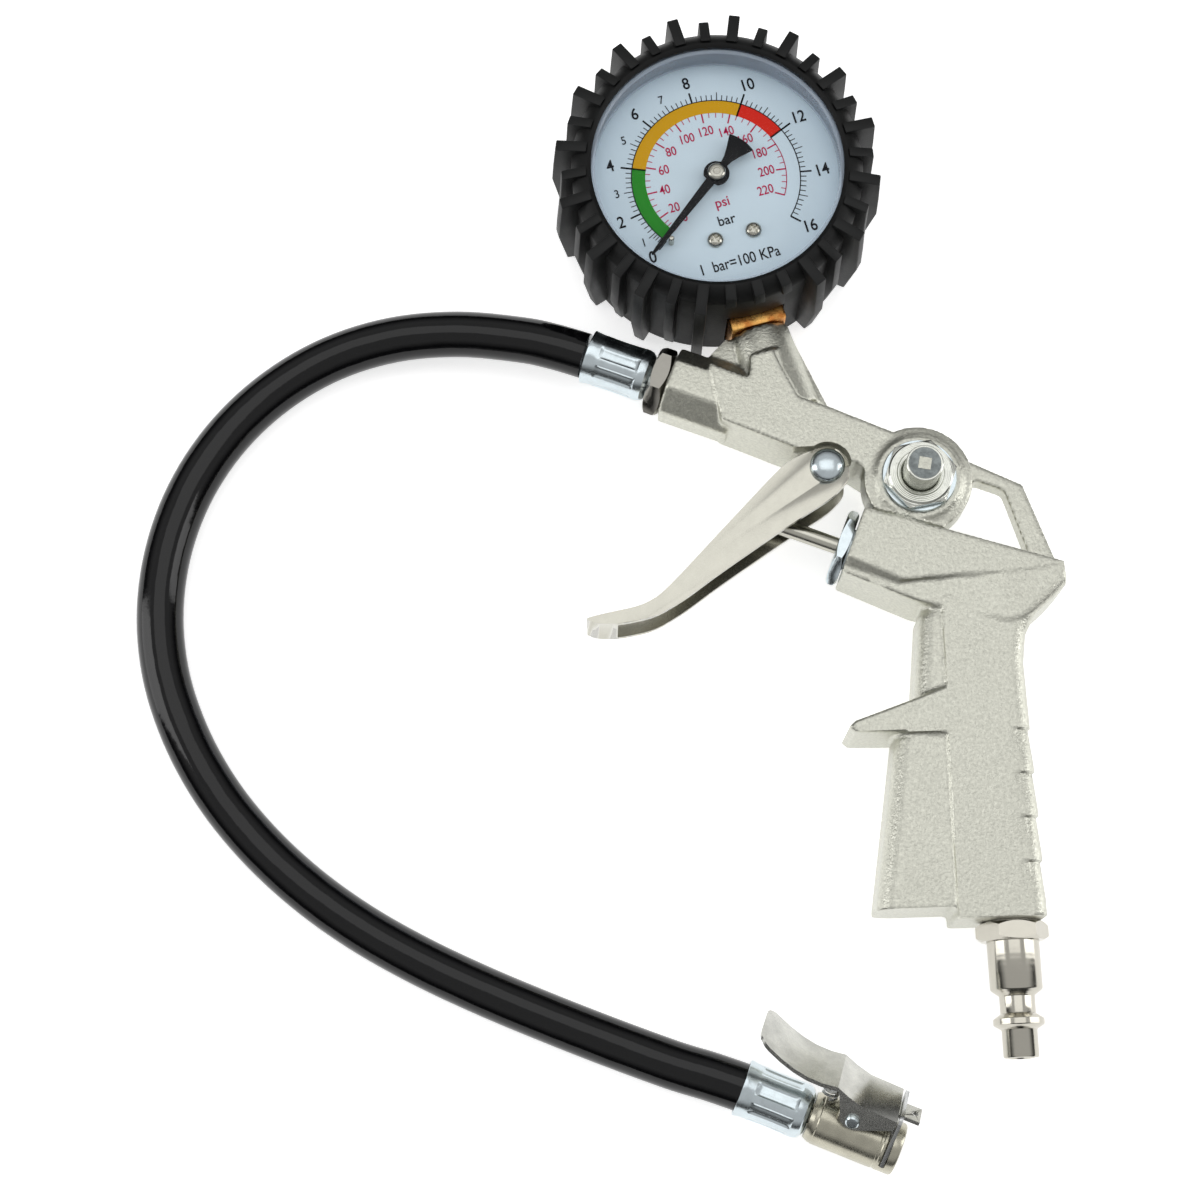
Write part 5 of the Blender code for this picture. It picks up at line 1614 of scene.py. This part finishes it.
@dataclass(frozen=True)
class Gauge:
    """The dial, its screws, the pointer, the lens and the brass stem."""

    screws: tuple[Point2, ...] = ((-4.7, -15.3), (4.7, -15.3))
    pointer_rest: float = -127.5

    def dial(self, layout: Layout, palette: Palette) -> None:
        """Make the dial plate with the hole for its arbor, then its screws and its stop pin."""
        plate = turned("gauge_dial_plate", ((0, 10.4), (29.9, 10.4), (30.0, 10.5), (30.0, 10.9),
                                            (29.9, 11.0), (0, 11.0)), 128)
        cut(plate, rod("arbor_hole", 1.5, 5, 15, 48))
        settle(smooth(plate, 30), layout.dial)
        fit(plate, Body.GUN, palette["dial"], ["gauge_dial"])
        for number, place in enumerate(self.screws, start=1):
            head = turned("screw", ((0, 12.35), (0.9, 12.3), (1.5, 12.05), (1.85, 11.6),
                                    (1.9, 11.06), (0.9, 11.05), (0.9, 7.0), (0, 7.0)), 64)
            for angle in (20, 110):
                slot = block("slot", (-1.2, -0.33, 11.55), (1.2, 0.33, 13))
                cut(head, turn_piece(slot, Matrix.Rotation(math.radians(angle), 4, "Z")))
            turn_piece(head, Matrix.Translation((*place, 0)))
            head.name = f"dial_screw_{number}_turned"
            settle(smooth(head, 30), layout.dial)
            fit(head, Body.GUN, palette["trigger"], [f"dial_screw_{number}"])
        stop = turned("stop_pin", ((0, 14.3), (0.45, 14.22), (0.65, 14.0), (0.65, 11.05),
                                   (0, 11.05)), 32)
        turn = math.radians(-131.2)
        turn_piece(stop, Matrix.Translation((19.9 * math.sin(turn), 19.9 * math.cos(turn), 0)))
        settle(stop, layout.dial)
        fit(stop, Body.GUN, palette["trigger"], ["dial_stop_pin"])

    def pointer(self, layout: Layout, palette: Palette) -> None:
        """Make the pointer with its fan-shaped tail, and its cap."""
        blade = [(1.15, 2.5), (0.5, 23.8), (0.22, 25.8), (-0.22, 25.8), (-0.5, 23.8), (-1.15, 2.5)]
        fan = arc((0, 0), 10.6, -109, -71, 10)
        left, right = [(-0.85, -3.0), (-1.15, -4.6), (-1.9, -6.6)], [(1.9, -6.6), (1.15, -4.6),
                                                                   (0.85, -3.0)]
        outline = (blade + arc((0, 0), 3.1, 120, 240, 10)[1:-1] + left + fan + right
                   + arc((0, 0), 3.1, 300, 420, 10)[1:-1])
        obj = slab("pointer_blade", outline, 13.4, 13.9)
        bevel(obj, 0.07, 2)
        turn_piece(obj, Matrix.Rotation(-math.radians(self.pointer_rest), 4, "Z"))
        settle(smooth(obj, 30), layout.dial)
        fit(obj, Body.POINTER, palette["pointer"], ["pointer"])
        cap = turned("pointer_hub_cap", ((0, 15.2), (0.75, 15.2), (0.85, 15.35), (1.35, 15.38),
                                         (1.9, 15.15), (2.15, 14.8), (2.15, 13.95), (0, 13.95)),
                     64)
        settle(cap, layout.dial)
        fit(cap, Body.POINTER, palette["trigger"], ["pointer_cap"])

    def lens(self, layout: Layout, palette: Palette) -> None:
        """Make the clear lens: its thin front and its skirt."""
        front = turned("lens_front", ((0, 17.9), (28.9, 17.9), (28.9, 17.5), (0, 17.5)), 128)
        settle(smooth(front, 30), layout.dial)
        fit(front, Body.GUN, palette["lens"], ["gauge_window"])
        side = [(28.95, 17.5), (28.95, 18.1), (29.4, 18.4), (29.8, 18.3), (30.05, 18.0),
                (30.1, 11.4), (29.3, 11.4), (29.2, 15.6), (28.95, 17.5)]
        skirt = turned("lens_skirt", side, 128)
        settle(smooth(skirt, 40), layout.dial)
        # The skirt's pale colour is painted light on clear plastic.
        fit(skirt, Body.GUN, palette["rim"])

    def stem(self, layout: Layout, palette: Palette) -> None:
        """Make the brass stem: square, threaded below and with its holder above."""
        obj = block("stem_square", (-6.75, -6.75, -36.9), (6.75, 6.75, -32.2))
        bevel(obj, 0.6, 2)
        fuse(obj, rod("thread", 4.7, -47.0, -36.0, 48), rod("neck", 4.6, -33.0, -28.0, 48),
             block("holder", (-8.0, -1.7, -29.0), (8.0, 5.0, -12.5)))
        cut(obj, rod("bore", 1.4, -50, -20, 32))
        settle(smooth(obj, 30), layout.stem)
        fit(obj, Body.GUN, palette["brass"], ["gauge_stem"])
        posts = [rod("post", 2.0, 1.9, 10.1, 32, place) for place in self.screws]
        posts = [cut(post, rod("bore", 1.2, 5, 12, 24, place))
                 for post, place in zip(posts, self.screws)]
        both = join("dial_posts", posts)
        settle(smooth(both, 30), layout.dial)
        fit(both, Body.GUN, palette["brass"])

    def build(self, layout: Layout, palette: Palette) -> None:
        """Build the whole gauge.

        Args:
            layout: Places of the sub-assemblies.
            palette: The finishes.
        """
        self.dial(layout, palette)
        DialPrint(layout, palette).build()
        self.pointer(layout, palette)
        self.lens(layout, palette)
        self.stem(layout, palette)
        Boot().build(layout, palette)


# ------------------------------------------------------------------------ chuck


@dataclass(frozen=True)
class Chuck:
    """The clip-on chuck: its axes are above, across and along it, in millimetres."""

    lever_half: float = 6.6
    pin: Point2 = (24.1, 7.1)
    line: tuple[Point2, ...] = (
        (-1.4, 18.1), (1.6, 16.4), (4.8, 14.9), (8.2, 13.7), (11.5, 13.0), (15.0, 12.9),
        (18.4, 13.4), (21.5, 12.0), (25.2, 10.9), (33.0, 10.6))
    cheek: tuple[Point2, ...] = (
        (19.0, 13.0), (21.6, 6.0), (23.0, 4.9), (25.0, 4.9), (33.0, 8.6), (33.0, 10.6),
        (25.2, 10.9))

    def across(self, name: str, outline: Sequence[Point2], low: float, high: float
               ) -> bpy.types.Object:
        """A slab across the chuck from an outline of places along and above it."""
        obj = slab(name, outline, low, high)
        return turn_piece(obj, Matrix(((0, 1, 0, 0), (0, 0, 1, 0), (1, 0, 0, 0), (0, 0, 0, 1))))

    def cross_rod(self, name: str, radius: float, low: float, high: float) -> bpy.types.Object:
        """A cylinder on the lever's pin, across the chuck."""
        obj = rod(name, radius, low, high, 48)
        along, above = self.pin
        return turn_piece(obj, Matrix.Translation((above, 0, along))
                          @ Matrix.Rotation(-math.pi / 2, 4, "X"))

    def body(self, layout: Layout, palette: Palette) -> bpy.types.Object:
        """Turn and bore the body, with its slot, lug and pin hole."""
        side = ((0, 36.6), (5.4, 36.6), (5.8, 36.4), (6.0, 36.0), (6.0, 32.6), (5.85, 32.4),
                (5.85, 31.9), (6.0, 31.7), (6.0, 17.6), (5.85, 17.4), (5.85, 16.9), (5.6, 16.4),
                (5.2, 15.6), (2.8, 15.6), (3.1, 10.0), (2.7, 10.0), (3.1, 6.0), (2.7, 6.0),
                (2.5, 3.4), (0, 3.4))
        obj = turned("chuck_body_turned", side, 96)
        lug = block("lug", (3.0, -4.4, 20.7), (9.4, 4.4, 27.5))
        bevel(lug, 0.8, 3)
        fuse(obj, lug)
        cut(obj, rod("bore", 1.4, 0, 30, 32),
            turned("mouth", ((0, 24.2), (4.05, 24.2), (4.05, 35.9), (4.6, 36.7), (4.6, 42),
                             (0, 42)), 64),
            block("slot", (-2.0, -9, 33.1), (12, 9, 34.5)), self.cross_rod("hole", 1.66, -9, 9))
        settle(smooth(obj, 30), layout.chuck)
        return fit(obj, Body.GUN, palette["chuck"], ["chuck_body"])

    def lever(self, layout: Layout, palette: Palette) -> bpy.types.Object:
        """Press the thumb lever with its rounded end, cheeks and tongue."""
        upper = [(along, above + 0.5) for along, above in self.line]
        lower = [(along, above - 0.5) for along, above in reversed(self.line)]
        obj = self.across("chuck_lever_pressed", upper + lower, -self.lever_half, self.lever_half)
        bevel_where(obj, lambda a, b: a.z < 0 and b.z < 0 and abs(a.y - b.y) < 0.01
                    and abs(abs(a.y) - self.lever_half) < 0.01 and (a - b).length < 1.2, 4.6, 8)
        for low, high in ((-self.lever_half, -5.5), (5.5, self.lever_half)):
            fuse(obj, self.across("cheek", self.cheek, low, high))
        fuse(obj, block("tongue", (9.6, -2.6, 31.0), (10.5, 2.6, 38.0)))
        hole = rod("hole", 0.75, 5.0, 15.0, 32)
        turn_piece(hole, Matrix.Translation((0, 0, 36.6)) @ Matrix.Rotation(math.pi / 2, 4, "Y"))
        cut(obj, hole, self.cross_rod("pin_hole", 1.66, -9, 9))
        bevel(obj, 0.22, 2, 50)
        settle(smooth(obj, 25), layout.chuck)
        return fit(obj, Body.LEVER, palette["sheet"], ["chuck_lever"])

    def hinge_pin(self, layout: Layout, palette: Palette) -> bpy.types.Object:
        """Turn the pin with its peened ends."""
        side = [(0, 7.6), (1.2, 7.55), (1.5, 7.3), (1.6, 6.9), (1.6, -6.9), (1.5, -7.3),
                (1.2, -7.55), (0, -7.6)]
        obj = turned("chuck_hinge_pin", side, 48)
        along, above = self.pin
        turn_piece(obj, Matrix.Translation((above, 0, along))
                   @ Matrix.Rotation(-math.pi / 2, 4, "X"))
        settle(obj, layout.chuck)
        return fit(obj, Body.GUN, palette["zinc"], ["chuck_pin"])

    def jaw(self, layout: Layout, palette: Palette) -> bpy.types.Object:
        """Stamp the jaw plate."""
        obj = block("chuck_jaw_stamped", (-1.7, -6.3, 33.4), (12.0, 6.3, 34.2))
        bevel_where(obj, lambda a, b: a.x > 11 and b.x > 11 and abs(a.z - b.z) > 0.5, 1.6, 5)
        cut(obj, rod("arch", 4.15, 30, 38, 64, (-0.45, 0)),
            block("throat", (-9, -4.15, 30), (-0.45, 4.15, 38)),
            block("window", (8.8, -3.1, 30), (10.95, 3.1, 38)))
        bevel(obj, 0.1, 2, 50)
        settle(smooth(obj, 30), layout.chuck)
        return fit(obj, Body.JAW, palette["steel"], ["chuck_jaw"])

    def build(self, layout: Layout, palette: Palette) -> list[bpy.types.Object]:
        """Build the chuck.

        Args:
            layout: Places of the sub-assemblies.
            palette: The finishes.

        Returns:
            The pieces that lie on the hose's end.
        """
        return [self.body(layout, palette), self.lever(layout, palette),
                self.hinge_pin(layout, palette), self.jaw(layout, palette)]


# ------------------------------------------------------------------------ assembly


def main() -> None:
    """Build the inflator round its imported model."""
    logging.basicConfig(level=logging.INFO, format="%(message)s")
    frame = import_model()
    layout = Layout.from_model(frame["joints"])
    palette = Palette(layout)
    Studio().build()
    hose = Hose()
    hose_piece = hose.build(layout, palette)
    Inside().dress(frame["nodes"], palette)
    Ferrule("gun_ferrule_crimped", "gun_ferrule").build(layout.outlet, 4.6, 1, palette)
    sleeve = Ferrule("chuck_ferrule_crimped", "chuck_ferrule").build(layout.chuck, 15.3, -1,
                                                                   palette)
    HoseNipple().build(layout, palette)
    Casting().build(layout, palette)
    AirPlug().build(layout, palette)
    Trigger().build(layout, palette)
    InletValve().build(layout, palette)
    BleedValve().build(layout, palette)
    Gauge().build(layout, palette)
    on_hose = [sleeve, *Chuck().build(layout, palette)]
    on_hose += ["chuck_spring", "chuck_gasket", "chuck_depressor"]


if __name__ == "__main__":
    main()
